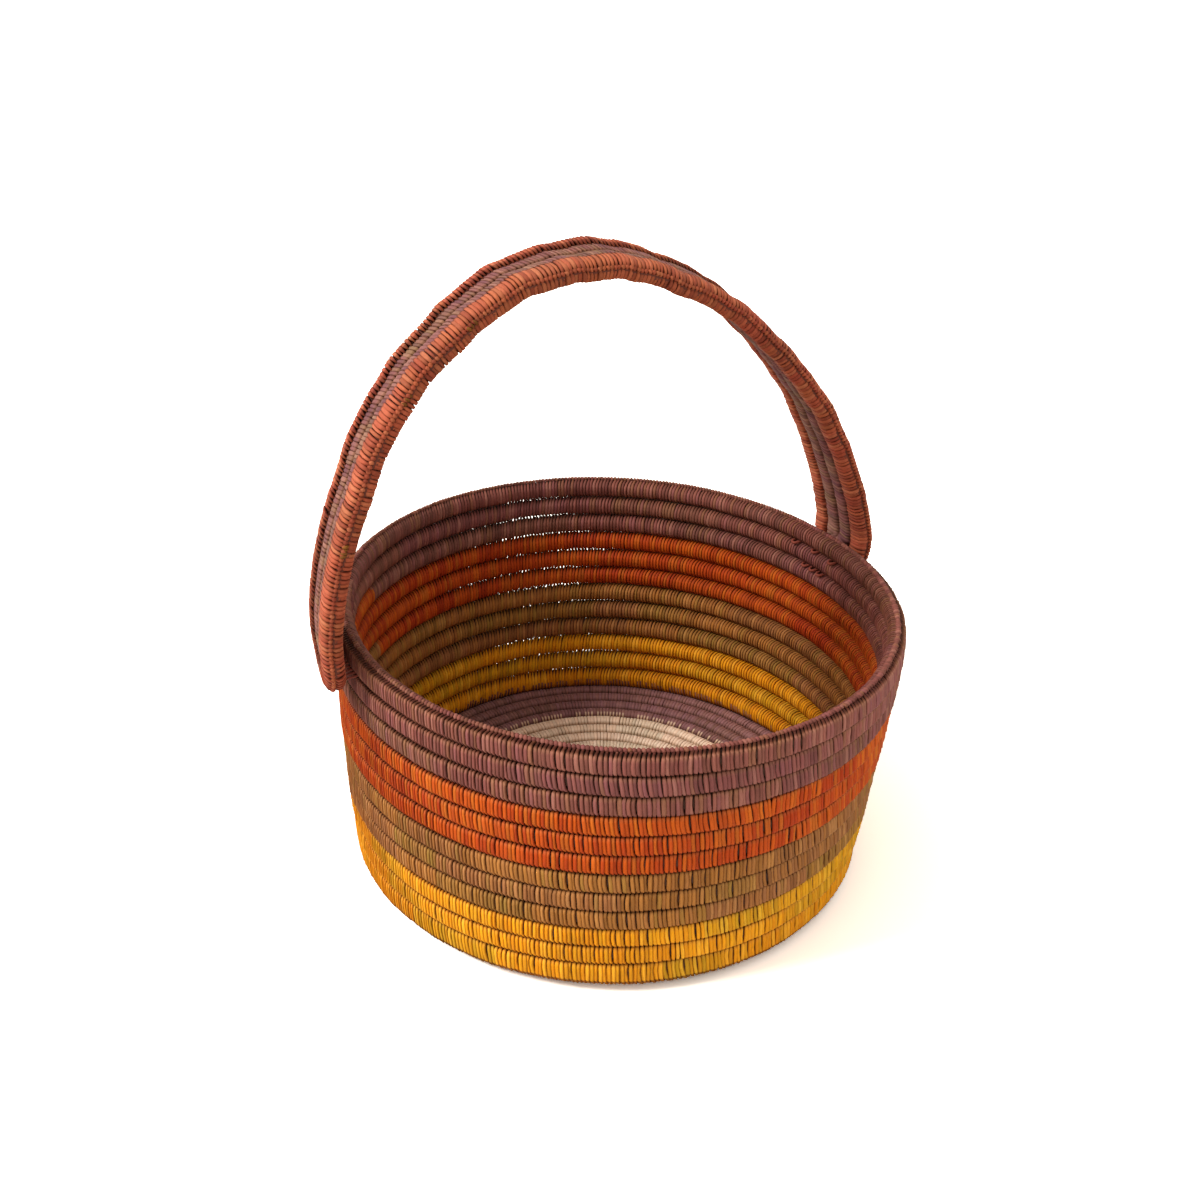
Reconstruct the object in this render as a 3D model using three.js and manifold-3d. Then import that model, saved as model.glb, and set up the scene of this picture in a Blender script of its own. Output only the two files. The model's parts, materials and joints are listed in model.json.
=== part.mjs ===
// A coiled pandanus basket with an arched carrying handle.
// Millimetres, +Z up. X runs along the handle, and the origin is on the floor under the middle of the rim.
// A basket of this kind is one long bundle of plant fibre, the foundation, wound up row by row.
// Each row is bound with strips of leaf that also catch the row below, so every colour of leaf is its own
// hollow cord round the foundation. The handle is four such rows side by side, sewn to the outside of the rim.

import * as THREE from "three";
import { mergeVertices } from "three/addons/utils/BufferGeometryUtils.js";
import Module from "manifold-3d";

const wasm = await Module();
wasm.setup();

// Wall: size and shape of the rows that stand on the base
const RIM_RADIUS = 150; // outside of the rim, before the handle draws it in
const FOOT_RADIUS = 138; // outside of the lowest row
const WALL_BULGE = 1.04; // how far the wall stands proud of a straight cone at half height
const RIM_SQUEEZE = 8.3; // the rim is this much narrower along X, and as much wider along Y
const FOOT_SQUEEZE = 3; // the same at the foot
const RIM_LEAN_X = 7.6; // from the middle of the base to the middle of the rim
const RIM_LEAN_Y = 1.4;
const ROW_PITCH = 11.14;
const WALL_THICKNESS = 9.7;
const ROWS_PER_COLOUR = 3;
const WALL_COLOURS = ["yellow", "tan", "orange", "plum"];

// Base: a flat spiral of a slightly thinner cord
const BASE_ROWS = 12;
const BASE_CORD = 7.4; // the cord's height before its underside is flattened
const BASE_FLAT = 0.74; // what the floor takes off the underside, a tenth of the cord
const BASE_INSET = 4.6; // the last base row lies this far inside the lowest wall row
const PLUM_BASE_ROWS = 4;
const START_RADIUS = 22.5; // the tight start of the coil, which is one disc
const START_CROWN = 1.2; // the start disc is this much lower at its edge

// Clearances, and the shape of a bound row
const COIL_GAP = 0.55; // between neighbouring rows of the wall
const BASE_GAP = 0.6; // between neighbouring rows of the base
const STRAP_GAP = 0.55; // between neighbouring rows of the handle
const END_GAP = 0.45; // between the ends of two cords that meet
const STRAP_END_GAP = 0.55; // the same where the ends of a handle row meet
const FIT = 0.3; // between a piece and what it lies in
const SHOULDER = 0.55; // the flat on top of a row, as a share of the row's width
const BINDING = 2; // thickness of the leaf binding over the foundation
const JOIN_ANGLE = 130; // every colour starts here, in degrees from +X
const CLIMB_TURN = 0.1; // the share of a turn in which a row climbs to the next level

// Rim edging: the chain of small loops along the top
const EDGING_SIZE = 2.4;
const EDGING_OFFSET = 1.5; // from the middle of the top row to the edging, outwards

// Handle: an arch of four rows side by side
const HANDLE_TOP = 309.27; // middle of the strap at the top of the arch, above the floor
const SPRING_Z = 115.37; // where the arch would stand upright
const LEG_STANDOFF = 13; // from the outside of the rim to the middle of an upright leg
const ARCH_POWER = 1.91; // 2 is an ellipse, less is more pointed
const STRAP_PITCH = 12;
const STRAP_THICKNESS = 10;
const STRAP_SHIFT_Y = 7.4; // the strap's middle lies this far off the X axis at the rim
const STRAP_YAW = -1.35; // degrees that the arch is turned about Z
const TOP_LEAN_X = -11.9; // the top of the arch leans this far
const TOP_LEAN_Y = 11.6;
const TWIST_LEFT = -11; // degrees that the strap is turned about Z at the left foot
const TWIST_TOP = -17;
const TWIST_RIGHT = -5;
const LEFT_SLOPE = 0.035; // how much a foot runs in towards the wall for each millimetre down
const RIGHT_SLOPE = 0.15;
const LEFT_DRAW = 25; // a leg is drawn in from the arch to its foot over this height
const RIGHT_DRAW = 20;
const LEFT_FOOT_GAP = 3.4; // between the back of a foot and the wall, which only the stitches bridge
const RIGHT_FOOT_GAP = 4.2;
const LEFT_GROOVE = 11; // the left foot is sewn on under this many rows, counted from the base
const RIGHT_GROOVE = 10;
const UPPER_GROOVE = 11; // a second row of stitches holds the right foot one groove higher

// Lashing: short stitches that hold the feet to the wall
const STITCH_WIDTH = 2.2;
const STITCH_THICKNESS = 1.2;
const STITCH_SPAN = 4; // between the two legs of a stitch
const STITCH_BITE = 1; // how far a stitch goes into the back of the strap
const STITCH_PITCH = 7; // between neighbouring stitches under the foot's lowest row
const STITCH_DEPTH = 3.9; // from the middle of the wall to the part of a stitch that shows inside
const UPPER_STITCH_PITCH = 16.2; // the same between the stitches of the second row

// Fineness of the cords
const TURN_STEPS = 20;
const INNER_TURN_STEPS = 10;
const INNER_TURNS = 4; // this many turns at the middle of the base are the coarser ones
const ARCH_STEPS = 28;
const FOOT_STEPS = 6; // in each half circle of a handle row
const EDGING_STEPS = 40;
const DISC_SIDES = 20;
const SEAT_SAMPLES = 6; // places each way on a foot where its seat is measured
const CURVE_DIVISIONS = 800; // for measuring along the strap
const GAP_REACH = 18; // a cord's gap to itself is looked for within this distance
const MERGE = 1e-4; // corners closer than this are one corner
const TINY = 1e-6;

// Sizes that follow from the ones above
const wallRows = ROWS_PER_COLOUR * WALL_COLOURS.length;
const baseThickness = BASE_CORD - BASE_FLAT;
const baseMiddle = BASE_CORD / 2 - BASE_FLAT;
const rowHeight = ROW_PITCH - COIL_GAP;
const wallFoot = baseThickness + COIL_GAP;
const wallHeight = wallRows * ROW_PITCH;
const rimTop = wallFoot + wallHeight - COIL_GAP;
const rimHalfX = RIM_RADIUS - RIM_SQUEEZE;
const lastBaseRadius = FOOT_RADIUS - WALL_THICKNESS / 2 - BASE_INSET;
const baseSqueeze = FOOT_SQUEEZE / lastBaseRadius;
const coilStart = (START_RADIUS + BASE_GAP) / Math.cos(Math.PI / INNER_TURN_STEPS);
const basePitch = (lastBaseRadius - coilStart + BASE_GAP / 2) / (BASE_ROWS - 1 / 2);
const firstBaseRadius = lastBaseRadius - (BASE_ROWS - 1) * basePitch;
const undyedTurns = BASE_ROWS - PLUM_BASE_ROWS;
const lastTurn = BASE_ROWS + wallRows - 1;
const strapHalfRow = (STRAP_PITCH - STRAP_GAP) / 2;
const plumOffset = STRAP_PITCH / 2; // from the strap's middle line to a plum row
const redOffset = plumOffset + STRAP_PITCH;
const strapHalfWidth = redOffset + strapHalfRow;
const radians = THREE.MathUtils.degToRad;
const joinAngle = radians(JOIN_ANGLE);

// The shape of the basket

// How far up the wall a height is, from 0 at its foot to 1 at the rim.
function wallShare(z) {
  return (z - wallFoot) / wallHeight;
}

// The middle of the ring of wall at a share of its height.
function ringMiddle(share) {
  return new THREE.Vector2(-RIM_LEAN_X, -RIM_LEAN_Y).multiplyScalar(1 - share);
}

// From that middle to the outside of the wall, in the direction of an angle.
function ringRadius(angle, share) {
  const cone = FOOT_RADIUS + (RIM_RADIUS - FOOT_RADIUS) * share;
  const bulge = 4 * WALL_BULGE * share * (1 - share);
  const squeeze = RIM_SQUEEZE * share ** 2 + FOOT_SQUEEZE * (1 - share ** 2);
  return cone + bulge - squeeze * Math.cos(2 * angle);
}

// A point on the wall at an angle and a height, offset outwards from the middle of its thickness.
function wallPoint(angle, z, offset = 0) {
  const share = wallShare(z);
  const middle = ringMiddle(share);
  const radius = ringRadius(angle, share) - WALL_THICKNESS / 2 + offset;
  return new THREE.Vector3(
    middle.x + radius * Math.cos(angle),
    middle.y + radius * Math.sin(angle),
    z,
  );
}

// The level of the groove over a number of wall rows.
function grooveLevel(rows) {
  return wallFoot + rows * ROW_PITCH - COIL_GAP / 2;
}

// Sections of the cords

// A bound row cut across: points at its two sides, flats above and below, and its underside cut flat.
function rowSection(halfWidth, halfHeight, cut = 0) {
  const shoulder = SHOULDER * halfWidth;
  const bottom = halfHeight - cut;
  const lowShoulder = halfWidth - (halfWidth - shoulder) * (bottom / halfHeight);
  return [
    [halfWidth, 0],
    [shoulder, halfHeight],
    [-shoulder, halfHeight],
    [-halfWidth, 0],
    [-lowShoulder, -bottom],
    [lowShoulder, -bottom],
  ];
}

// The bore of that row, or the foundation in it where a clearance is given.
function boreSection(halfWidth, halfHeight, cut = 0, clearance = 0, binding = BINDING) {
  const side = SHOULDER * halfWidth - clearance;
  const top = halfHeight - binding - clearance;
  const bottom = halfHeight - cut - binding - clearance;
  return [
    [side, top],
    [-side, top],
    [-side, -bottom],
    [side, -bottom],
  ];
}

// Cords: a section carried along stations

// Each station has a middle, and two directions, side and up, that the section lies in.
function ringPoints(station, section) {
  return section.map(([a, b]) =>
    station.middle.clone().addScaledVector(station.side, a).addScaledVector(station.up, b),
  );
}

// The bands of faces between neighbouring rings, turned over for the inside of a bore.
function bandFaces(index, first, rings, sides, inside) {
  for (let ring = 0; ring < rings - 1; ring++)
    for (let side = 0; side < sides; side++) {
      const next = (side + 1) % sides;
      const a = first + ring * sides + side;
      const b = first + ring * sides + next;
      const c = b + sides;
      const d = a + sides;
      if (inside) index.push(a, c, b, a, d, c);
      else index.push(a, b, c, a, c, d);
    }
}

// A closed cord through the stations, with a bore that is open at both ends where one is given.
function cordGeometry(stations, sectionAt, boreAt) {
  const rings = stations.length;
  const outer = stations.map((station) => sectionAt(station));
  const inner = boreAt ? stations.map((station) => boreAt(station)) : [];
  const points = outer.flatMap((section, i) => ringPoints(stations[i], section));
  points.push(...inner.flatMap((section, i) => ringPoints(stations[i], section)));
  const sides = outer[0].length;
  const boreSides = boreAt ? inner[0].length : 0;
  const boreFirst = rings * sides;
  const index = [];
  bandFaces(index, 0, rings, sides, false);
  if (boreAt) bandFaces(index, boreFirst, rings, boreSides, true);
  for (const ring of [0, rings - 1]) {
    const flat = (section) => section.map(([a, b]) => new THREE.Vector2(a, b));
    const holes = boreAt ? [flat(inner[ring])] : [];
    const corner = (i) =>
      i < sides ? ring * sides + i : boreFirst + ring * boreSides + (i - sides);
    for (const face of THREE.ShapeUtils.triangulateShape(flat(outer[ring]), holes)) {
      const [a, b, c] = face.map(corner);
      if (ring === 0) index.push(a, c, b);
      else index.push(a, b, c);
    }
  }
  const geometry = new THREE.BufferGeometry().setFromPoints(points);
  geometry.setIndex(index);
  return geometry;
}

// The least distance from a cord to another stretch of itself, measured from points on its surface.
function leastSelfGap(stations, sectionAt, reach) {
  const rings = stations.map((station) => ringPoints(station, sectionAt(station)));
  const halfway = (p, q) => p.clone().lerp(q, 0.5);
  const closest = new THREE.Vector3();
  const triangle = new THREE.Triangle();
  let least = Infinity;
  const along = [0];
  for (let i = 1; i < stations.length; i++)
    along.push(along[i - 1] + stations[i].middle.distanceTo(stations[i - 1].middle));
  for (let i = 0; i < rings.length; i++) {
    const samples = rings[i].flatMap((p, k) => {
      const q = rings[i][(k + 1) % rings[i].length];
      const ahead = rings[i + 1] ? [halfway(p, rings[i + 1][k])] : [];
      return [p, halfway(p, q), ...ahead];
    });
    for (let j = 0; j < rings.length - 1; j++) {
      const apart = Math.min(Math.abs(along[i] - along[j]), Math.abs(along[i] - along[j + 1]));
      if (apart < 2 * reach) continue;
      const near = halfway(stations[j].middle, stations[j + 1].middle);
      const step = stations[j].middle.distanceTo(stations[j + 1].middle);
      if (near.distanceTo(stations[i].middle) > reach + step) continue;
      rings[j].forEach((a, k) => {
        const b = rings[j][(k + 1) % rings[j].length];
        const c = rings[j + 1][(k + 1) % rings[j].length];
        const d = rings[j + 1][k];
        for (const [p, q, r] of [[a, b, c], [a, c, d]]) {
          triangle.set(p, q, r);
          for (const sample of samples) {
            triangle.closestPointToPoint(sample, closest);
            least = Math.min(least, closest.distanceTo(sample));
          }
        }
      });
    }
  }
  return least;
}

// The coil: stations of the whole spiral, counted in turns from the middle of the base

// How far a row has moved to the next level, from 0 to 1, at a share of its turn.
function climb(share) {
  const t = THREE.MathUtils.clamp((share - (1 - CLIMB_TURN)) / CLIMB_TURN, 0, 1);
  return THREE.MathUtils.smoothstep(t, 0, 1);
}

// The station of the coil after a number of turns. It winds clockwise, seen from above.
// A row of the base moves out by one pitch before the join, and a row of the wall climbs by one there.
// The last turn of the base rolls up over the edge of the turn inside it, and becomes the lowest wall row.
function coilStation(turns) {
  const turn = Math.min(Math.floor(turns + TINY), lastTurn);
  const share = turns - turn;
  const angle = joinAngle - 2 * Math.PI * turns;
  const moved = climb(share);
  const rise = Math.sin((Math.PI / 2) * moved);
  const side = new THREE.Vector3(Math.cos(angle), Math.sin(angle), 0);
  const up = new THREE.Vector3(0, 0, 1);
  const station = { side, up, turns };
  if (turn >= BASE_ROWS) {
    const bottom = wallFoot + (turn - BASE_ROWS + rise) * ROW_PITCH;
    const top = Math.min(bottom + rowHeight, rimTop);
    station.halfWidth = WALL_THICKNESS / 2;
    station.halfHeight = (top - bottom) / 2;
    station.cut = 0;
    const level = Math.min(bottom + rowHeight / 2, rimTop - rowHeight / 2);
    station.middle = wallPoint(angle, level).setZ((top + bottom) / 2);
    return station;
  }
  const middle = ringMiddle(0);
  const squeeze = 1 - baseSqueeze * Math.cos(2 * angle);
  const pitch = basePitch * squeeze;
  const halfWidth = (pitch - BASE_GAP) / 2;
  let radius = firstBaseRadius * squeeze + (turn + moved) * pitch;
  let z = baseMiddle;
  station.halfWidth = halfWidth;
  station.halfHeight = BASE_CORD / 2;
  station.cut = BASE_FLAT;
  station.middle = new THREE.Vector3(middle.x, middle.y, 0);
  if (turn === BASE_ROWS - 1) {
    const target = wallPoint(angle, wallFoot + rowHeight / 2);
    const turned = (Math.PI / 2) * moved;
    radius += pitch * (Math.cos(turned) - 1);
    z += (target.z - baseMiddle) * rise;
    const wallRadius = Math.hypot(target.x - middle.x, target.y - middle.y);
    radius += (wallRadius - lastBaseRadius * squeeze) * moved;
    station.halfWidth += (WALL_THICKNESS / 2 - halfWidth) * moved;
    station.halfHeight += (rowHeight / 2 - BASE_CORD / 2) * moved;
    station.cut *= 1 - moved;
  }
  station.middle.addScaledVector(side, radius).setZ(z);
  return station;
}

// The stations between two counts of turns, a little short of both ends.
function coilStations(from, to) {
  const shorten = (turns, way) => {
    const { middle } = coilStation(turns);
    return turns + (way * END_GAP) / 2 / (2 * Math.PI * Math.hypot(middle.x, middle.y));
  };
  const stations = [coilStation(shorten(from, 1))];
  let turns = from;
  while (turns < to - TINY) {
    const steps = turns < INNER_TURNS - TINY ? INNER_TURN_STEPS : TURN_STEPS;
    turns += 1 / steps;
    if (turns < to - TINY) stations.push(coilStation(turns));
  }
  stations.push(coilStation(shorten(to, -1)));
  return stations;
}

const bound = (s) => rowSection(s.halfWidth, s.halfHeight, s.cut);
const bore = (s) => {
  const thin = s.turns > lastTurn ? (2 * s.halfHeight) / rowHeight : 1;
  return boreSection(s.halfWidth, s.halfHeight, s.cut, 0, BINDING * thin);
};
const core = (s) => boreSection(s.halfWidth, s.halfHeight, s.cut, FIT);

// The handle

const archRise = HANDLE_TOP - SPRING_Z;
const halfSpan = rimHalfX + LEG_STANDOFF;
const leftEndZ = grooveLevel(LEFT_GROOVE) + redOffset;
const rightEndZ = grooveLevel(RIGHT_GROOVE) + redOffset;

// The arch before its legs are drawn in to the wall: a superellipse that leans to the left and to the back.
function archPoint(phi) {
  const power = 2 / ARCH_POWER;
  const along = -halfSpan * Math.sign(Math.cos(phi)) * Math.abs(Math.cos(phi)) ** power;
  const z = SPRING_Z + archRise * Math.abs(Math.sin(phi)) ** power;
  const lean = (z - rimTop) / (HANDLE_TOP - rimTop);
  const yaw = radians(STRAP_YAW);
  return new THREE.Vector3(
    along * Math.cos(yaw) + TOP_LEAN_X * lean,
    STRAP_SHIFT_Y + along * Math.sin(yaw) + TOP_LEAN_Y * lean ** 2,
    z,
  );
}

// The arch's angle at a height on one side, -1 for the left and 1 for the right.
function archAngle(side, z) {
  const phi = Math.asin(((z - SPRING_Z) / archRise) ** (ARCH_POWER / 2));
  return side < 0 ? phi : Math.PI - phi;
}

// The direction across the strap, for a place along the span from -1 to 1.
function acrossStrap(place) {
  const turn = (TWIST_RIGHT - TWIST_LEFT) / 2;
  const bow = (TWIST_RIGHT + TWIST_LEFT) / 2 - TWIST_TOP;
  const angle = radians(90 + TWIST_TOP + turn * place + bow * place ** 2);
  return new THREE.Vector3(Math.cos(angle), Math.sin(angle), 0);
}

// Three directions on the strap: along it from the left foot to the right, across it, and out of it.
function strapFrame(direction, place) {
  const along = direction.clone().normalize();
  const across = acrossStrap(place);
  across.addScaledVector(along, -across.dot(along)).normalize();
  return { along, across, out: along.clone().cross(across) };
}

// The wall as it is faceted: x of a face at a place across the foot, on one side of the basket.
function wallFaceX(side, y, z, offset) {
  const step = (2 * Math.PI) / TURN_STEPS;
  for (let i = 0; i < TURN_STEPS; i++) {
    const a = wallPoint(joinAngle - i * step, z, offset);
    const b = wallPoint(joinAngle - (i + 1) * step, z, offset);
    const low = Math.min(a.y, b.y);
    const high = Math.max(a.y, b.y);
    if (side * a.x > 0 && side * b.x > 0 && low <= y && y <= high)
      return a.x + ((b.x - a.x) * (y - a.y)) / (b.y - a.y);
  }
  throw new Error("the foot is wider than the basket");
}

// Where the middle of a foot's half circle lies, so that its back clears the wall by the gap.
function footSeat(side, endZ, slope, gap) {
  const up = new THREE.Vector3(side * slope, 0, 1);
  const { along, across, out } = strapFrame(up.multiplyScalar(-side), side);
  const arch = archPoint(archAngle(side, endZ));
  const start = new THREE.Vector3(0, arch.y, endZ);
  let x = 0;
  for (let i = -SEAT_SAMPLES; i <= SEAT_SAMPLES; i++)
    for (let j = 0; j <= SEAT_SAMPLES; j++) {
      const turn = (Math.PI * i) / (2 * SEAT_SAMPLES);
      const reach = (strapHalfWidth * j) / SEAT_SAMPLES;
      const p = start.clone();
      p.addScaledVector(across, reach * Math.sin(turn));
      p.addScaledVector(along, side * reach * Math.cos(turn));
      p.addScaledVector(out, -STRAP_THICKNESS / 2);
      const z = Math.min(p.z, rimTop);
      const face = side * wallFaceX(side, p.y, z, WALL_THICKNESS / 2);
      x = Math.max(x, face + gap - side * p.x);
    }
  return side * x;
}

// How a leg is drawn in from the arch to its seat: how far at its end, and how fast, for each millimetre up.
function legPull(side, endZ, slope, gap) {
  const phi = archAngle(side, endZ);
  const above = archPoint(phi - side * TINY);
  const here = archPoint(phi);
  const archSlope = (side * (above.x - here.x)) / (above.z - here.z);
  return { pull: side * (here.x - footSeat(side, endZ, slope, gap)), rate: archSlope - slope };
}

// The same at a share of the height that the leg is drawn in over, where it fades out smoothly.
function pullAt({ pull, rate }, share, height) {
  const left = 1 - THREE.MathUtils.clamp(share, 0, 1);
  return left ** 2 * (pull * (3 - 2 * left) + rate * height * (1 - left));
}

const leftPull = legPull(-1, leftEndZ, LEFT_SLOPE, LEFT_FOOT_GAP);
const rightPull = legPull(1, rightEndZ, RIGHT_SLOPE, RIGHT_FOOT_GAP);

// The middle line of the strap between the half circles of its feet.
class StrapCurve extends THREE.Curve {
  getPoint(t, target = new THREE.Vector3()) {
    const phi = THREE.MathUtils.lerp(archAngle(-1, leftEndZ), archAngle(1, rightEndZ), t);
    target.copy(archPoint(phi));
    if (phi < Math.PI / 2) target.x += pullAt(leftPull, (target.z - leftEndZ) / LEFT_DRAW, LEFT_DRAW);
    else target.x -= pullAt(rightPull, (target.z - rightEndZ) / RIGHT_DRAW, RIGHT_DRAW);
    return target;
  }
}

const strapCurve = new StrapCurve();
strapCurve.arcLengthDivisions = CURVE_DIVISIONS;

// A station of the strap's middle line at a share of its length.
function strapStation(share) {
  const middle = strapCurve.getPointAt(share);
  return { middle, ...strapFrame(strapCurve.getTangentAt(share), middle.x / halfSpan) };
}

// One row of the strap and its twin, joined by a half circle at each foot into a loop whose two ends
// meet at the right foot.
function loopStations(offset) {
  const left = strapStation(0);
  const right = strapStation(1);
  const bend = (end, way, angle) => {
    const cos = Math.cos(angle);
    const sin = Math.sin(angle);
    const middle = end.middle.clone().addScaledVector(end.across, -way * offset * cos);
    middle.addScaledVector(end.along, way * offset * sin);
    const side = end.across.clone().multiplyScalar(way * cos);
    side.addScaledVector(end.along, -way * sin);
    return { middle, side, up: end.out };
  };
  const row = (share, way) => bend(strapStation(share), way, 0);
  const step = Math.PI / FOOT_STEPS;
  const stations = [row(1 - STRAP_END_GAP / strapCurve.getLength(), -1)];
  for (let i = ARCH_STEPS - 1; i >= 0; i--) stations.push(row(i / ARCH_STEPS, -1));
  for (let i = 1; i < FOOT_STEPS; i++) stations.push(bend(left, -1, i * step));
  for (let i = 0; i <= ARCH_STEPS; i++) stations.push(row(i / ARCH_STEPS, 1));
  for (let i = 1; i <= FOOT_STEPS; i++) stations.push(bend(right, 1, i * step));
  return stations;
}

const strapBound = () => rowSection(strapHalfRow, STRAP_THICKNESS / 2);
const strapBore = () => boreSection(strapHalfRow, STRAP_THICKNESS / 2);
const strapCore = () => boreSection(strapHalfRow, STRAP_THICKNESS / 2, 0, FIT);

// Lashing stitches, and the cuts that they pass through

// x of the back of a foot at a place on it.
function footBackX(side, y, z) {
  const end = strapStation(side < 0 ? 0 : 1);
  const back = end.middle.clone().addScaledVector(end.out, -STRAP_THICKNESS / 2);
  const { out } = end;
  return back.x - (out.y * (y - back.y) + out.z * (z - back.z)) / out.x;
}

// A stitch is a staple: it lies in a groove on the inside of the wall, and its two legs go out between
// the rows and into the back of the strap.
function stitchLegs(side, y, z) {
  return [-1, 1].map((way) => {
    const legY = y + (way * STITCH_SPAN) / 2;
    return { y: legY, tip: footBackX(side, legY, z) + side * STITCH_BITE };
  });
}

function stitchGeometry(side, y, z) {
  const [low, high] = stitchLegs(side, y, z);
  const half = STITCH_THICKNESS / 2;
  const inner = wallFaceX(side, y, z, 0) - side * STITCH_DEPTH;
  const back = inner - side * STITCH_THICKNESS;
  const outline = [
    [back, low.y - half],
    [low.tip, low.y - half],
    [low.tip, low.y + half],
    [inner, low.y + half],
    [inner, high.y - half],
    [high.tip, high.y - half],
    [high.tip, high.y + half],
    [back, high.y + half],
  ];
  const shape = new THREE.Shape(outline.map(([a, b]) => new THREE.Vector2(a, b)));
  const geometry = new THREE.ExtrudeGeometry(shape, { depth: STITCH_WIDTH, bevelEnabled: false });
  return geometry.translate(0, 0, z - STITCH_WIDTH / 2);
}

// The cut for both legs of a stitch, from the inside of the wall to past the tips.
function stitchCuts(side, y, z) {
  return stitchLegs(side, y, z).map((leg) => {
    const from = wallFaceX(side, y, z, 0) - side * STITCH_DEPTH;
    const to = leg.tip + side * FIT;
    const size = [Math.abs(to - from), STITCH_THICKNESS + 2 * FIT, STITCH_WIDTH + 2 * FIT];
    return new THREE.BoxGeometry(...size).translate((from + to) / 2, leg.y, z);
  });
}

// The places of the stitches on each foot, as an offset across the strap and a groove.
const leftStitches = [-1, 0, 1].map((i) => [i * STITCH_PITCH, LEFT_GROOVE]);
const rightStitches = [
  ...[-1, 0, 1].map((i) => [i * STITCH_PITCH, RIGHT_GROOVE]),
  ...[-1, 0, 1].map((i) => [i * UPPER_STITCH_PITCH, UPPER_GROOVE]),
];

function stitchPlaces(side, list) {
  const end = strapStation(side < 0 ? 0 : 1);
  return list.map(([offset, groove]) => [side, end.middle.y + offset, grooveLevel(groove)]);
}

const stitches = [
  ...stitchPlaces(-1, leftStitches).map((place, i) => ["left_lashing_" + (i + 1), place]),
  ...stitchPlaces(1, rightStitches).map((place, i) => ["right_lashing_" + (i + 1), place]),
];

// Cutting

function solidOf(geometry) {
  const bare = geometry.clone();
  bare.deleteAttribute("normal");
  bare.deleteAttribute("uv");
  const merged = mergeVertices(bare, MERGE);
  return new wasm.Manifold(
    new wasm.Mesh({
      numProp: 3,
      vertProperties: new Float32Array(merged.attributes.position.array),
      triVerts: new Uint32Array(merged.index.array),
    }),
  );
}

function geometryOf(solid) {
  const mesh = solid.getMesh();
  const count = mesh.numProp;
  const points = new Float32Array(mesh.numVert * 3);
  for (let i = 0; i < mesh.numVert; i++)
    points.set(mesh.vertProperties.subarray(i * count, i * count + 3), i * 3);
  const geometry = new THREE.BufferGeometry();
  geometry.setAttribute("position", new THREE.BufferAttribute(points, 3));
  geometry.setIndex(new THREE.BufferAttribute(mesh.triVerts, 1));
  return geometry;
}

function cutGeometry(geometry, cutters) {
  let solid = solidOf(geometry);
  for (const cutter of cutters) solid = solid.subtract(solidOf(cutter));
  return geometryOf(solid);
}

// Colours of the leaf, and the pieces

const leaf = (color, roughness = 0.75) =>
  new THREE.MeshStandardMaterial({ color, roughness, metalness: 0 });
const leaves = {
  undyed: leaf(0xd2b9a0),
  yellow: leaf(0xf0a51e),
  tan: leaf(0xa07840),
  orange: leaf(0xd86423),
  plum: leaf(0x8c625f),
  red: leaf(0xc85f41),
  handlePlum: leaf(0x82605a),
};
const fibre = leaf(0xb89a6a, 0.9);

const basket = new THREE.Group();

function addPiece(name, geometry, material) {
  geometry.computeVertexNormals();
  const mesh = new THREE.Mesh(geometry, material);
  mesh.name = name;
  basket.add(mesh);
  return mesh;
}

function addCord(name, stations, section, hollow, material, cutters = []) {
  const whole = cordGeometry(stations, section, hollow);
  addPiece(name, cutters.length ? cutGeometry(whole, cutters) : whole, material);
  if (!hollow) return;
  const gap = leastSelfGap(stations, section, GAP_REACH);
  console.log(name + ": least gap to itself " + gap.toFixed(2) + " mm");
}

// The tight start of the coil in the middle of the base
const disc = new THREE.LatheGeometry(
  [
    new THREE.Vector2(0, 0),
    new THREE.Vector2(START_RADIUS - START_CROWN, 0),
    new THREE.Vector2(START_RADIUS, START_CROWN),
    new THREE.Vector2(START_RADIUS, baseThickness - START_CROWN),
    new THREE.Vector2(START_RADIUS / 2, baseThickness),
    new THREE.Vector2(0, baseThickness),
  ],
  DISC_SIDES,
);
disc.rotateX(Math.PI / 2);
disc.scale(1 - baseSqueeze, 1 + baseSqueeze, 1);
disc.translate(-RIM_LEAN_X, -RIM_LEAN_Y, 0);
addPiece("base_start_disc", disc, leaves.undyed);

// The base
addCord("base_foundation", coilStations(0, BASE_ROWS), core, null, fibre);
addCord("base_binding_undyed", coilStations(0, undyedTurns), bound, bore, leaves.undyed);
addCord("base_binding_plum", coilStations(undyedTurns, BASE_ROWS), bound, bore, leaves.plum);

// The wall. Its last row thins out over the climb of the row below, so that the rim stays level.
const coilEnd = lastTurn + 1 - CLIMB_TURN;
const allCuts = stitches.flatMap(([, place]) => stitchCuts(...place));
addCord("wall_foundation", coilStations(BASE_ROWS, coilEnd), core, null, fibre);
WALL_COLOURS.forEach((colour, i) => {
  const from = BASE_ROWS + i * ROWS_PER_COLOUR;
  const last = i === WALL_COLOURS.length - 1;
  const to = last ? coilEnd + CLIMB_TURN / 2 : from + ROWS_PER_COLOUR;
  const cutters = last ? allCuts : [];
  addCord("wall_binding_" + colour, coilStations(from, to), bound, bore, leaves[colour], cutters);
});

// The chain of loops along the rim: a closed ring of four sides
const edgingSection = [[1, 0], [0, 1], [-1, 0], [0, -1]].map((corner) =>
  corner.map((share) => (share * EDGING_SIZE) / 2),
);

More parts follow.
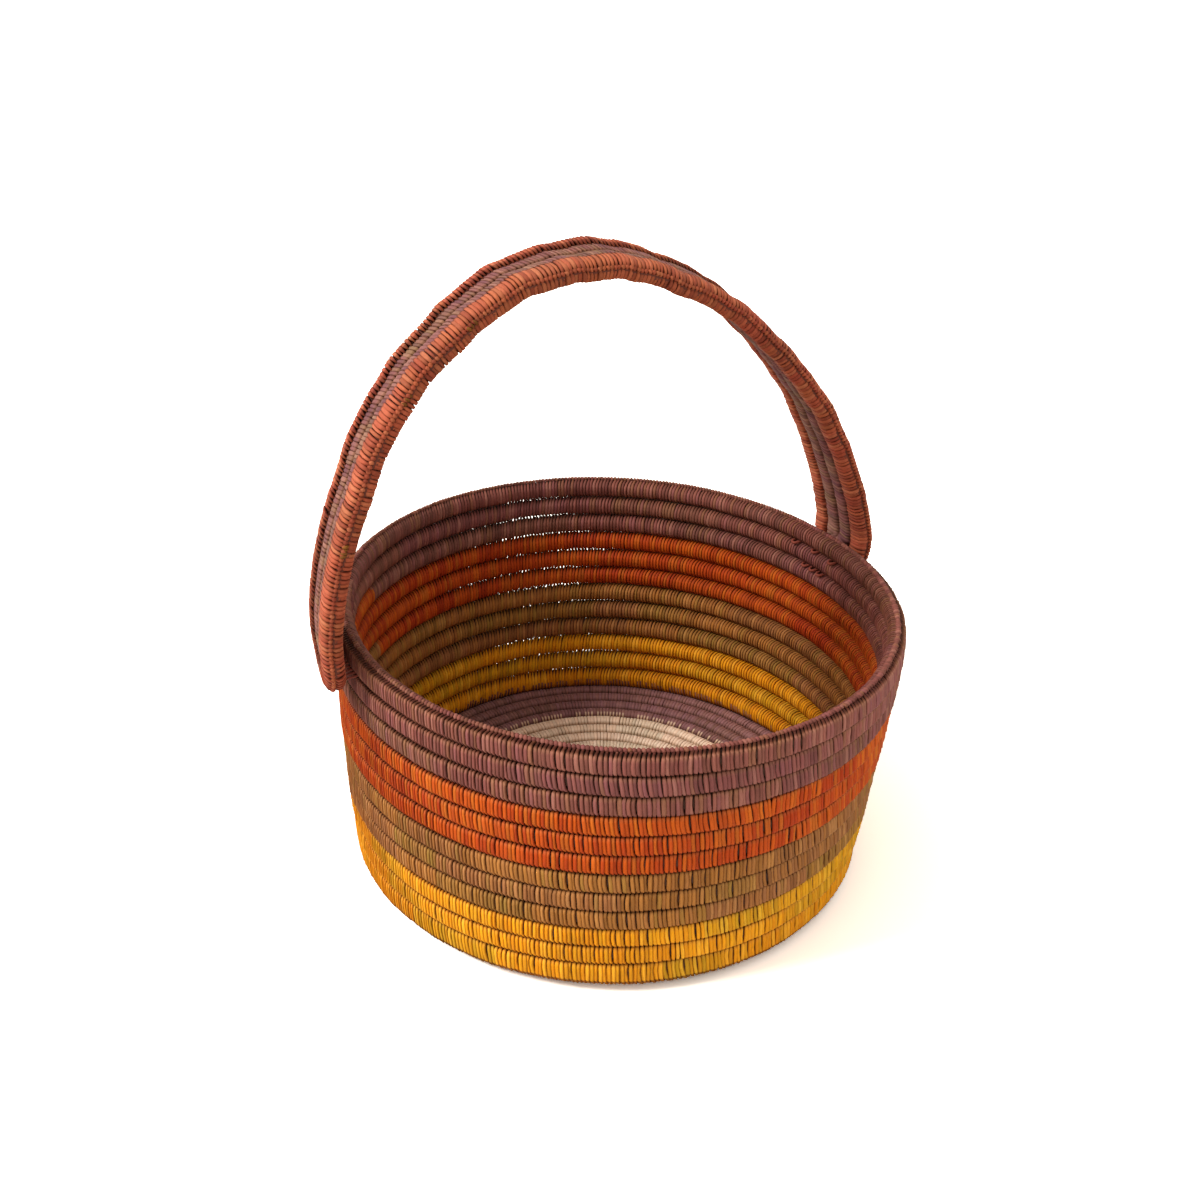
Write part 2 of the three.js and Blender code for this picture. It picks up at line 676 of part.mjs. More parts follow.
function edgingRing() {
  const points = [];
  for (let i = 0; i < EDGING_STEPS; i++) {
    const angle = joinAngle - (2 * Math.PI * i) / EDGING_STEPS;
    const side = new THREE.Vector3(Math.cos(angle), Math.sin(angle), 0);
    const middle = wallPoint(angle, rimTop - rowHeight / 2, EDGING_OFFSET);
    middle.setZ(rimTop + FIT + EDGING_SIZE / 2);
    points.push(...ringPoints({ middle, side, up: new THREE.Vector3(0, 0, 1) }, edgingSection));
  }
  const index = [];
  bandFaces(index, 0, EDGING_STEPS + 1, edgingSection.length, false);
  const geometry = new THREE.BufferGeometry().setFromPoints(points);
  geometry.setIndex(index.map((i) => i % points.length));
  return geometry;
}

addPiece("rim_edging", edgingRing(), leaves.plum);

// The handle: the plum pair in the middle, and the red row that runs all round it
const plumLoop = loopStations(plumOffset);
const redLoop = loopStations(redOffset);
addCord("handle_foundation_plum", plumLoop, strapCore, null, fibre);
addCord("handle_binding_plum", plumLoop, strapBound, strapBore, leaves.handlePlum, allCuts);
addCord("handle_foundation_red", redLoop, strapCore, null, fibre);
addCord("handle_binding_red", redLoop, strapBound, strapBore, leaves.red, allCuts);

// The stitches of the feet
for (const [name, place] of stitches) addPiece(name, stitchGeometry(...place), leaves.red);

export default basket;
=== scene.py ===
# %% [markdown]
# # A coiled pandanus basket with an arched handle
# A coiled basket is one long bundle of plant fibre that is wound up row by row. Strips of leaf are wrapped
# round the bundle, and each one catches the row below. There are about nine thousand of these strips, and they
# make the whole look of the basket. So this scene models every strip: Geometry Nodes lay them along the
# winding line, and a few small shaders give them their colours.

# %% Load the frame
import json
import math

import bpy
import numpy as np
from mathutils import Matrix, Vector

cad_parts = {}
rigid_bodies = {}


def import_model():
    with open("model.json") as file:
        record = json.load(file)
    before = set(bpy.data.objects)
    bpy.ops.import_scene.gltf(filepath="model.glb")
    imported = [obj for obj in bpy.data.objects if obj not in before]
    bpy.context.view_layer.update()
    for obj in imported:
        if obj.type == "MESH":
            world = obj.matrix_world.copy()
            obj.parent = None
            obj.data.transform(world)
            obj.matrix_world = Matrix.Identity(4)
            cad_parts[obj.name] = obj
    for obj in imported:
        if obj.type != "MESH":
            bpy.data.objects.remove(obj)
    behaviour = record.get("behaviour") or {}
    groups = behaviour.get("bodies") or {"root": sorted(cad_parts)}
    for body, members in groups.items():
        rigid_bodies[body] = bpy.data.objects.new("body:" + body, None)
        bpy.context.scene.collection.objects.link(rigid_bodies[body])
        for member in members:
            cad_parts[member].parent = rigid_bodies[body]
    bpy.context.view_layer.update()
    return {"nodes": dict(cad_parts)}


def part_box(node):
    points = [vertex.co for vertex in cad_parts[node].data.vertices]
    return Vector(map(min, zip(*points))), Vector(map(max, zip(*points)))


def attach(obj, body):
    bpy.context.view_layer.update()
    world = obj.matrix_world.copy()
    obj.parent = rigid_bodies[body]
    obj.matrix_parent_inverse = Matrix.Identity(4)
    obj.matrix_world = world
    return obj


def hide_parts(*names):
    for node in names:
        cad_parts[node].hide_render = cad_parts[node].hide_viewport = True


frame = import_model()
nodes = frame["nodes"]
MM = 0.001
print("frame:", len(nodes), "solids")

# %% [markdown]
# ## Where the camera stands
# The photograph looks down on the basket from the front left. The place, the tilt and the lens were worked out
# from the two ellipses of the rim and the foot, and from the bands between them. The lens is slightly long, so
# the far side is about a third smaller than the near side.

# %% Camera
CAMERA_PLACE = (-0.3309, -0.5645, 0.4759)
CAMERA_AZIMUTH = math.radians(29.86)  # turned to the right of +Y, seen from above
CAMERA_DOWN = math.radians(27.54)
CAMERA_LENS = 42.6  # millimetres, on a sensor 36 mm wide
CAMERA_SHIFT = -0.0029

camera_data = bpy.data.cameras.new("camera")
camera_data.lens = CAMERA_LENS
camera_data.sensor_width = 36
camera_data.shift_x = CAMERA_SHIFT
camera_data.clip_end = 50
camera = bpy.data.objects.new("camera", camera_data)
camera.location = CAMERA_PLACE
camera.rotation_euler = (math.pi / 2 - CAMERA_DOWN, 0, -CAMERA_AZIMUTH)
bpy.context.scene.collection.objects.link(camera)
bpy.context.scene.camera = camera

# %% [markdown]
# ## Two small helpers for node trees
# A tree of nodes is easier to read as arithmetic. A Wire stands for one output socket, and adding or
# multiplying wires adds Math nodes. A Graph makes every other kind of node. Its settings come first, because
# they decide which sockets the node has. Then come the values or wires of its sockets.


# %% Wires and graphs
class Wire:
    """One output socket of a tree, which can be used in sums."""

    def __init__(self, graph, socket):
        self.graph = graph
        self.socket = socket

    def output(self, name):
        outputs = self.socket.node.outputs
        return Wire(self.graph, next(s for s in outputs if s.enabled and s.name == name))

    def maths(self, operation, *values):
        sockets = dict(enumerate(values))
        return self.graph.node("ShaderNodeMath", {"operation": operation}, sockets)

    def __add__(self, other):
        return self.maths("ADD", self, other)

    def __sub__(self, other):
        return self.maths("SUBTRACT", self, other)

    def __rsub__(self, other):
        return self.maths("SUBTRACT", other, self)

    def __mul__(self, other):
        return self.maths("MULTIPLY", self, other)

    def __truediv__(self, other):
        return self.maths("DIVIDE", self, other)

    def __abs__(self):
        return self.maths("ABSOLUTE", self)

    __radd__ = __add__
    __rmul__ = __mul__

    def __neg__(self):
        return 0 - self

    def sine(self):
        return self.maths("SINE", self)

    def floor(self):
        return self.maths("FLOOR", self)

    def power(self, exponent):
        return self.maths("POWER", self, exponent)

    def rise(self, low, high):
        """0 up to low, 1 from high on, and smooth in between."""
        settings = {"interpolation_type": "SMOOTHSTEP"}
        sockets = {"Value": self, "From Min": low, "From Max": high}
        return self.graph.node("ShaderNodeMapRange", settings, sockets)


class Graph:
    """A node tree that is being built."""

    def __init__(self, tree):
        self.tree = tree

    def node(self, kind, settings=None, sockets=None):
        node = self.tree.nodes.new(kind)
        for name, value in (settings or {}).items():
            if name == "stops":
                self.set_stops(node.color_ramp, value)
            else:
                setattr(node, name, value)
        for name, value in (sockets or {}).items():
            self.connect(node, name, value)
        return Wire(self, next(s for s in node.outputs if s.enabled))

    def connect(self, node, name, value):
        if isinstance(name, int):
            socket = node.inputs[name]
        else:
            socket = next(s for s in node.inputs if s.enabled and s.name == name)
        if isinstance(value, Wire):
            self.tree.links.new(value.socket, socket)
        else:
            socket.default_value = value

    @staticmethod
    def set_stops(ramp, stops):
        while len(ramp.elements) < len(stops):
            ramp.elements.new(1)
        for element, (place, colour) in zip(ramp.elements, stops):
            element.position = place
            element.color = colour


# %% [markdown]
# ## The shape of the basket
# The strips need a line to be wrapped round. These are the sizes of the coil, in millimetres, and the same
# rule that the solids follow: twelve flat rows for the base, then twelve rows of wall. The wall is slightly
# oval, because the handle draws the rim in, and it bulges a little.

# %% Sizes of the coil
RIM_RADIUS = 150
FOOT_RADIUS = 138
WALL_BULGE = 1.04
RIM_SQUEEZE = 8.3  # the rim is this much narrower along X, and as much wider along Y
FOOT_SQUEEZE = 3
RIM_LEAN = Vector((7.6, 1.4))  # from the middle of the base to the middle of the rim
ROW_PITCH = 11.14
WALL_THICKNESS = 9.7
ROWS_PER_COLOUR = 3
WALL_ROWS = 12
BASE_ROWS = 12
BASE_CORD = 7.4  # the thickness of a row of the base
BASE_FLAT = 0.74  # taken off the underside of the base
BASE_INSET = 4.6  # from the middle of the lowest row of the wall to the last row of the base
BASE_GAP = 0.6
START_RADIUS = 22.5  # the tight start of the coil
START_SIDES = 10
PLUM_BASE_ROWS = 4
COIL_GAP = 0.55
JOIN_ANGLE = math.radians(130)  # where every turn begins, at the back on the left
CLIMB_TURN = 0.1  # the share of a turn in which a row climbs to the next level
ROW_WAVER = 0.16  # how unevenly the rows are wound
COIL_STEPS = 180  # stations in a turn
UP = Vector((0, 0, 1))

wall_foot = BASE_CORD - BASE_FLAT + COIL_GAP
wall_height = WALL_ROWS * ROW_PITCH
rim_top = wall_foot + wall_height - COIL_GAP
last_base_radius = FOOT_RADIUS - WALL_THICKNESS / 2 - BASE_INSET
coil_start = (START_RADIUS + BASE_GAP) / math.cos(math.pi / START_SIDES)
base_pitch = (last_base_radius - coil_start + BASE_GAP / 2) / (BASE_ROWS - 1 / 2)
first_base_radius = last_base_radius - (BASE_ROWS - 1) * base_pitch
last_turn = BASE_ROWS + WALL_ROWS - 1
solid_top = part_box("wall_binding_plum")[1].z / MM
print("rim at", round(rim_top, 1), "mm; the plum solid ends at", round(solid_top, 1))


# %% The winding line
def clamp(value):
    return min(max(value, 0), 1)


def outwards(angle):
    return Vector((math.cos(angle), math.sin(angle), 0))


def wall_point(angle, z, offset=0.0):
    """A point of the wall at an angle and a height, offset outwards from the middle of its thickness."""
    share = (z - wall_foot) / wall_height
    middle = -RIM_LEAN * (1 - share)
    cone = FOOT_RADIUS + (RIM_RADIUS - FOOT_RADIUS) * share
    bulge = 4 * WALL_BULGE * share * (1 - share)
    squeeze = RIM_SQUEEZE * share**2 + FOOT_SQUEEZE * (1 - share**2)
    radius = cone + bulge - squeeze * math.cos(2 * angle) - WALL_THICKNESS / 2 + offset
    return Vector((middle.x + radius * math.cos(angle), middle.y + radius * math.sin(angle), z))


def climb(share):
    """How far a row has moved to the next level, from 0 to 1, at a share of its turn."""
    t = clamp((share - (1 - CLIMB_TURN)) / CLIMB_TURN)
    return t * t * (3 - 2 * t)


class Station:
    """A place on a winding line: its middle, two directions across it, and half its size in each."""

    def __init__(self, middle, side, up, half_side, half_up, turns=0.0):
        self.middle = middle
        self.side = side
        self.up = up
        self.half_side = half_side
        self.half_up = half_up
        self.turns = turns


def coil_station(turns):
    """The winding line after a number of turns from the first full row of the base. Inside that row the turns
    are negative."""
    turn = min(math.floor(turns + 1e-6), last_turn)
    moved = climb(turns - turn)
    rise = math.sin(math.pi / 2 * moved)
    angle = JOIN_ANGLE - 2 * math.pi * turns
    side = outwards(angle)
    if turn >= BASE_ROWS:
        bottom = wall_foot - COIL_GAP / 2 + (turn - BASE_ROWS + rise) * ROW_PITCH
        top = min(bottom + ROW_PITCH, rim_top)
        level = min(bottom + ROW_PITCH / 2, rim_top - ROW_PITCH / 2)
        middle = wall_point(angle, level)
        middle.z = (top + bottom) / 2
        return Station(middle, side, UP, WALL_THICKNESS / 2, (top - bottom) / 2, turns)
    squeeze = 1 - FOOT_SQUEEZE / last_base_radius * math.cos(2 * angle)
    pitch = base_pitch * squeeze
    half_side = pitch / 2
    half_up = BASE_CORD / 2
    radius = first_base_radius * squeeze + (turn + moved) * pitch
    z = BASE_CORD / 2 - BASE_FLAT
    if turn == BASE_ROWS - 1:
        target = wall_point(angle, wall_foot + ROW_PITCH / 2)
        wall_radius = math.hypot(target.x + RIM_LEAN.x, target.y + RIM_LEAN.y)
        radius += pitch * (math.cos(math.pi / 2 * moved) - 1)
        radius += (wall_radius - last_base_radius * squeeze) * moved
        z += (target.z - z) * rise
        half_side += (WALL_THICKNESS / 2 - half_side) * moved
        half_up += (ROW_PITCH / 2 - half_up) * moved
    middle = Vector((-RIM_LEAN.x, -RIM_LEAN.y, z)) + side * radius
    return Station(middle, side, UP, half_side, half_up, turns)


def waver(turns, amount):
    """A hand wound row is never quite even: a slow swing that doesn't repeat from row to row."""
    turned = 2 * math.pi * turns
    slow = math.sin(5.3 * turned)
    quick = 0.7 * math.sin(12.7 * turned + 1)
    quickest = 0.5 * math.sin(23.9 * turned + 2)
    return amount * (slow + quick + quickest)


def coil(start, end):
    """A stretch of the winding line. The rows of the wall waver up and down too, at half the amount."""
    count = max(2, round((end - start) * COIL_STEPS))
    stations = [coil_station(start + (end - start) * i / count) for i in range(count + 1)]
    for station in stations:
        station.middle += station.side * waver(station.turns, ROW_WAVER)
        on_wall = clamp(station.turns - BASE_ROWS)
        station.middle.z += waver(station.turns + 0.37, ROW_WAVER / 2) * on_wall
    return stations


# %% [markdown]
# ## The line of the handle
# The handle is a strap of four rows side by side. A plum row is folded back on itself, and a red row runs all
# round it, so each is a closed racetrack. The arch is a superellipse that leans to the left and to the back,
# and it is twisted a little, which is why its near edge shows in the photograph.

# %% Sizes of the handle
HANDLE_TOP = 309.27
SPRING_Z = 115.37
LEG_STANDOFF = 13
ARCH_POWER = 1.91
STRAP_PITCH = 12
STRAP_THICKNESS = 10
STRAP_SHIFT_Y = 7.4
STRAP_YAW = math.radians(-1.35)
TOP_LEAN = Vector((-11.9, 11.6))
TWIST_LEFT = -11
TWIST_TOP = -17
TWIST_RIGHT = -5
FOOT_ROWS = {-1: 11, 1: 10}  # the rows under the foot on the left and on the right
FOOT_SLOPE = {-1: 0.035, 1: 0.15}
FOOT_X = {-1: -151.70, 1: 152.31}  # the middle of the strap at the end of each leg
DRAW_HEIGHT = {-1: 25, 1: 20}  # a leg is drawn in from the arch to its foot over this height
HANDLE_WAVER = 0.4  # how unevenly the strap is made
WAVER_FADE = 10  # over one part in so many of the strap, this fades out towards each foot
LOOP_STEPS = 220  # stations of a row, from foot to foot
BEND_STEPS = 24  # and of its half circle at a foot

arch_rise = HANDLE_TOP - SPRING_Z
half_span = RIM_RADIUS - RIM_SQUEEZE + LEG_STANDOFF
plum_offset = STRAP_PITCH / 2
red_offset = plum_offset + STRAP_PITCH


def groove_level(rows):
    """The height of the groove on top of so many rows of the wall."""
    return wall_foot + rows * ROW_PITCH - COIL_GAP / 2


end_z = {side: groove_level(rows) + red_offset for side, rows in FOOT_ROWS.items()}


# %% The line of the strap
def arch_point(phi):
    """The arch before its legs are drawn in to the wall."""
    power = 2 / ARCH_POWER
    along = -half_span * math.copysign(abs(math.cos(phi)) ** power, math.cos(phi))
    z = SPRING_Z + arch_rise * abs(math.sin(phi)) ** power
    lean = (z - rim_top) / (HANDLE_TOP - rim_top)
    x = along * math.cos(STRAP_YAW) + TOP_LEAN.x * lean
    y = STRAP_SHIFT_Y + along * math.sin(STRAP_YAW) + TOP_LEAN.y * lean**2
    return Vector((x, y, z))


def arch_angle(side, z):
    """The angle at which the left or the right half of the arch is at a height."""
    phi = math.asin(((z - SPRING_Z) / arch_rise) ** (ARCH_POWER / 2))
    return phi if side < 0 else math.pi - phi


def leg_pull(side):
    """How far a leg is drawn in at its end, and how fast."""
    phi = arch_angle(side, end_z[side])
    above = arch_point(phi - side * 1e-5)
    here = arch_point(phi)
    arch_slope = side * (above.x - here.x) / (above.z - here.z)
    return side * (here.x - FOOT_X[side]), arch_slope - FOOT_SLOPE[side]


pulls = {side: leg_pull(side) for side in (-1, 1)}


def strap_middle(share):
    """The middle of the strap at a share of the way from the left foot to the right one."""
    phi = arch_angle(-1, end_z[-1]) * (1 - share) + arch_angle(1, end_z[1]) * share
    side = -1 if phi < math.pi / 2 else 1
    pull, rate = pulls[side]
    height = DRAW_HEIGHT[side]
    point = arch_point(phi)
    left = 1 - clamp((point.z - end_z[side]) / height)
    point.x -= side * left**2 * (pull * (3 - 2 * left) + rate * height * (1 - left))
    return point


def strap_frame(share):
    """The middle of the strap, and the directions along it, across it and out of it."""
    step = 1e-4
    middle = strap_middle(share)
    along = (strap_middle(min(share + step, 1)) - strap_middle(max(share - step, 0))).normalized()
    place = middle.x / half_span
    turn = (TWIST_RIGHT - TWIST_LEFT) / 2
    bow = (TWIST_RIGHT + TWIST_LEFT) / 2 - TWIST_TOP
    angle = math.radians(90 + TWIST_TOP + turn * place + bow * place**2)
    across = Vector((math.cos(angle), math.sin(angle), 0))
    across = (across - along * across.dot(along)).normalized()
    out = along.cross(across)
    amount = HANDLE_WAVER * min(1, WAVER_FADE * share, WAVER_FADE * (1 - share))
    middle += across * waver(place / 2, amount) + out * waver(place / 2 + 0.4, amount)
    return middle, along, across, out


def strap_station(share, way, offset, angle=0.0):
    """A station of a row beside the strap's middle, or of the half circle that it turns in at a foot."""
    middle, along, across, out = strap_frame(share)
    cos = way * math.cos(angle)
    sin = way * math.sin(angle)
    centre = middle - across * (offset * cos) + along * (offset * sin)
    side = across * cos - along * sin
    return Station(centre, side, out, STRAP_PITCH / 2, STRAP_THICKNESS / 2)


def loop(offset):
    """The closed racetrack of a row, a row and its twin joined by a half circle at each foot."""
    shares = [i / LOOP_STEPS for i in range(LOOP_STEPS + 1)]
    bends = [math.pi * i / BEND_STEPS for i in range(1, BEND_STEPS)]
    stations = [strap_station(share, -1, offset) for share in reversed(shares)]
    stations += [strap_station(0, -1, offset, angle) for angle in bends]
    stations += [strap_station(share, 1, offset) for share in shares]
    stations += [strap_station(1, 1, offset, angle) for angle in bends]
    return stations + stations[:1]


# %% [markdown]
# ## One strip of leaf
# A strip is wrapped once round its row, so it is a closed band. In unit size it is one wide and reaches from -1
# to 1 in the other two directions, and Geometry Nodes scale it to each row. Its section has four corners and a
# narrower top: smooth shading rounds it, and a groove is left between neighbours. On the wall it is narrower on
# top and below, where it passes between the strips of the next rows, so small holes are left there. A strip of
# the red row has a point that lies over the plum row beside it.

# %% The strip
# Each row of numbers is a corner of the outline: outwards, upwards, and how wide the strip is there.
WALL_OUTLINE = [
    (1.00, 0.00, 1.00),
    (0.99, 0.42, 0.98),
    (0.90, 0.76, 0.84),
    (0.62, 0.92, 0.62),
    (0.20, 1.00, 0.60),
    (-0.30, 0.95, 0.64),
    (-0.70, 0.74, 0.82),
    (-0.94, 0.40, 0.95),
    (-1.00, 0.00, 1.00),
    (-0.94, -0.42, 0.95),
    (-0.68, -0.77, 0.84),
    (-0.28, -0.96, 0.70),
    (0.12, -1.00, 0.66),
    (0.74, -0.97, 0.84),
    (1.00, -0.60, 0.98),
]
FOOT_OUTLINE = [
    *WALL_OUTLINE[:9],
    (-0.94, -0.50, 0.98),
    (-0.72, -0.98, 0.92),
    (-0.25, -1.12, 0.92),
    (0.05, -1.48, 0.92),
    (0.52, -1.48, 0.92),
    (0.94, -0.92, 0.98),
]
BASE_OUTLINE = [
    (1.00, 0.00, 1.00),
    (0.90, 0.58, 0.96),
    (0.55, 0.92, 0.96),
    (0.00, 1.00, 1.00),
    (-0.55, 0.92, 0.96),
    (-0.90, 0.58, 0.92),
    (-1.00, 0.00, 0.90),
    (-0.88, -0.52, 0.96),
    (-0.52, -0.70, 1.00),
    (0.00, -0.72, 1.00),
    (0.52, -0.70, 1.00),
    (0.88, -0.52, 1.00),
]
RED_OUTLINE = [
    (0.98, 0.10, 0.90),
    (0.98, 0.62, 0.70),
    (1.60, 0.84, 0.30),
    (0.92, 1.06, 0.80),
    (0.30, 1.10, 0.96),
    (-0.36, 1.00, 1.00),
    (-0.80, 0.72, 0.86),
    (-1.04, 0.34, 0.62),
    (-0.86, 0.10, 0.66),
    (-1.02, -0.16, 0.96),
    (-0.96, -0.54, 1.00),
    (-0.66, -0.90, 0.95),
    (0.00, -0.97, 1.00),
    (0.68, -0.90, 0.95),
    (0.96, -0.45, 0.95),
]
PLUM_OUTLINE = [
    (1.00, 0.00, 0.95),
    (0.98, 0.52, 0.86),
    (0.74, 0.78, 0.90),
    (0.00, 0.86, 1.00),
    (-0.74, 0.78, 1.00),
    (-0.98, 0.52, 0.95),
    (-1.00, 0.00, 0.95),
    (-0.92, -0.55, 1.00),
    (-0.55, -0.88, 1.00),
    (0.00, -0.93, 1.00),
    (0.55, -0.88, 1.00),
    (0.92, -0.55, 1.00),
]
STRIP_CROWN = 0.7  # the width of a strip's top, as a share of its foot
STRIP_DEPTH = 0.2  # its thickness, as a share of half a row
STRIP_CORNERS = (-STRIP_CROWN, STRIP_CROWN, 1, -1)  # two on top and two at the foot, across the strip
BEAD_SIDES = 6
BEAD_RINGS = ((-0.46, 0.2), (-0.3, 0.85), (0.0, 1.0), (0.28, 0.8), (0.46, 0.2))  # place and half size
BEAD_PLACE = (-0.85, 0.2)  # outward and level: the part of a strip that its shading copies


def keep_place(mesh, places):
    """Rounds the shading, and stores where each corner lies on the unit strip, for the shader."""
    mesh.polygons.foreach_set("use_smooth", [True] * len(mesh.polygons))
    layer = mesh.attributes.new("place", "FLOAT_VECTOR", "POINT")
    layer.data.foreach_set("vector", np.array(places, np.float32).ravel())


def strip_form(name, outline, bow):
    """A closed band round the outline. The bow is how far its outer face bulges along the row."""
    count = len(outline)
    points = [Vector((0, side, up)) for side, up, _ in outline]
    verts = []
    for k, (_, up, width) in enumerate(outline):
        run = points[(k + 1) % count] - points[k - 1]
        normal = Vector((0, run.z, -run.y)).normalized()
        bend = Vector((bow * (1 - up * up) * max(points[k].y, 0), 0, 0))
        inner = points[k] - normal * STRIP_DEPTH
        for x, point in zip(STRIP_CORNERS, (points[k], points[k], inner, inner)):
            verts.append(point + bend + Vector((x * width / 2, 0, 0)))
    faces = []
    for k in range(count):
        a = 4 * k
        b = 4 * ((k + 1) % count)
        for i in range(4):
            j = (i + 1) % 4
            faces.append((a + i, a + j, b + j, b + i))
    mesh = bpy.data.meshes.new(name)
    mesh.from_pydata(verts, [], faces)
    keep_place(mesh, [(x, point.y, point.z) for point in points for x in STRIP_CORNERS])
    return bpy.data.objects.new(name, mesh)


def bead_form(name, twist):
    """One small loop of a chain: a bead that is longer than its share of the line."""
    verts = []
    for x, radius in BEAD_RINGS:
        for i in range(BEAD_SIDES):
            angle = 2 * math.pi * i / BEAD_SIDES + twist * x
            verts.append((x, radius * math.cos(angle), radius * math.sin(angle)))
    faces = [tuple(reversed(range(BEAD_SIDES))), tuple(range(len(verts) - BEAD_SIDES, len(verts)))]
    for start in range(0, len(verts) - BEAD_SIDES, BEAD_SIDES):
        for i in range(BEAD_SIDES):
            a = start + i
            b = start + (i + 1) % BEAD_SIDES
            faces.append((a, b, b + BEAD_SIDES, a + BEAD_SIDES))
    mesh = bpy.data.meshes.new(name)
    mesh.from_pydata(verts, [], faces)
    keep_place(mesh, [(x * 2, *BEAD_PLACE) for x, _, _ in verts])
    return bpy.data.objects.new(name, mesh)


def form_set(name, make, shapes):
    """Several forms in one collection, so that a tree can pick among them."""
    forms = bpy.data.collections.new(name)
    for i, shape in enumerate(shapes):
        forms.objects.link(make(f"{name}_{i}", *shape))
    return forms


BOWS = (-0.12, 0.0, 0.14, 0.3)
TWISTS = (0.0, 0.5, 1.0)
wall_strips = form_set("wall_strip", strip_form, [(WALL_OUTLINE, bow) for bow in BOWS])
foot_strips = form_set("foot_strip", strip_form, [(FOOT_OUTLINE, bow) for bow in BOWS])
base_strips = form_set("base_strip", strip_form, [(BASE_OUTLINE, bow) for bow in BOWS[:2]])
red_strips = form_set("red_strip", strip_form, [(RED_OUTLINE, bow) for bow in BOWS[:2]])
plum_strips = form_set("plum_strip", strip_form, [(PLUM_OUTLINE, bow) for bow in BOWS[:2]])
beads = form_set("bead", bead_form, [(twist,) for twist in TWISTS])
form_sets = (wall_strips, foot_strips, base_strips, red_strips, plum_strips, beads)

# %% [markdown]
# ## Wrapping a row
# The tree takes a winding line, cuts it into even steps and puts a strip on each. The line carries the two
# directions across it as attributes, so a strip always stands square to its row. Then it gets a small slant, a
# skew that swings slowly along the row, and its own width and lift. It also keeps two numbers for the shader:
# one of its own, and one that it shares with its neighbours, because a maker works with a handful of leaf at a
# time.


# %% The wrapping tree
def named(graph, name, kind):
    return graph.node("GeometryNodeInputNamedAttribute", {"data_type": kind}, {"Name": name})


def spread(graph, seed, number, low=-1.0, high=1.0):
    """A random number for each strip. Another number gives another choice from the same seed."""
    sockets = {"Min": low, "Max": high, "Seed": seed + number}
    return graph.node("FunctionNodeRandomValue", {"data_type": "FLOAT"}, sockets)


def store(graph, geometry, name, value):
    sockets = {"Geometry": geometry, "Name": name, "Value": value}
    settings = {"data_type": "FLOAT", "domain": "POINT"}
    return graph.node("GeometryNodeStoreNamedAttribute", settings, sockets)


AMOUNTS = ("Pitch", "Width", "Width spread", "Slant", "Slant spread", "Skew", "Skew wave", "Lift")
WRAP_INPUTS = {
    "Line": "Geometry",
    "Forms": "Collection",
    **dict.fromkeys(AMOUNTS, "Float"),
    "Run": "Int",
    "Seed": "Int",
    "Finish": "Material",
}
HANDFUL_WANDER = 11  # by how many strips the length of a handful changes
WANDER_PACE = 0.071  # in radians for each strip
WAVE_PACE = 43  # radians of the skew's swing in a turn
OWN_SLANT = 0.4  # a strip's own part of the slant, beside what it shares with its handful
OWN_SKEW = 0.03
OWN_SHIFT = 0.11  # how far a strip is out of its place, as a share of the pitch
MOST_FORMS = 3.999  # just under the greatest number of forms in a set


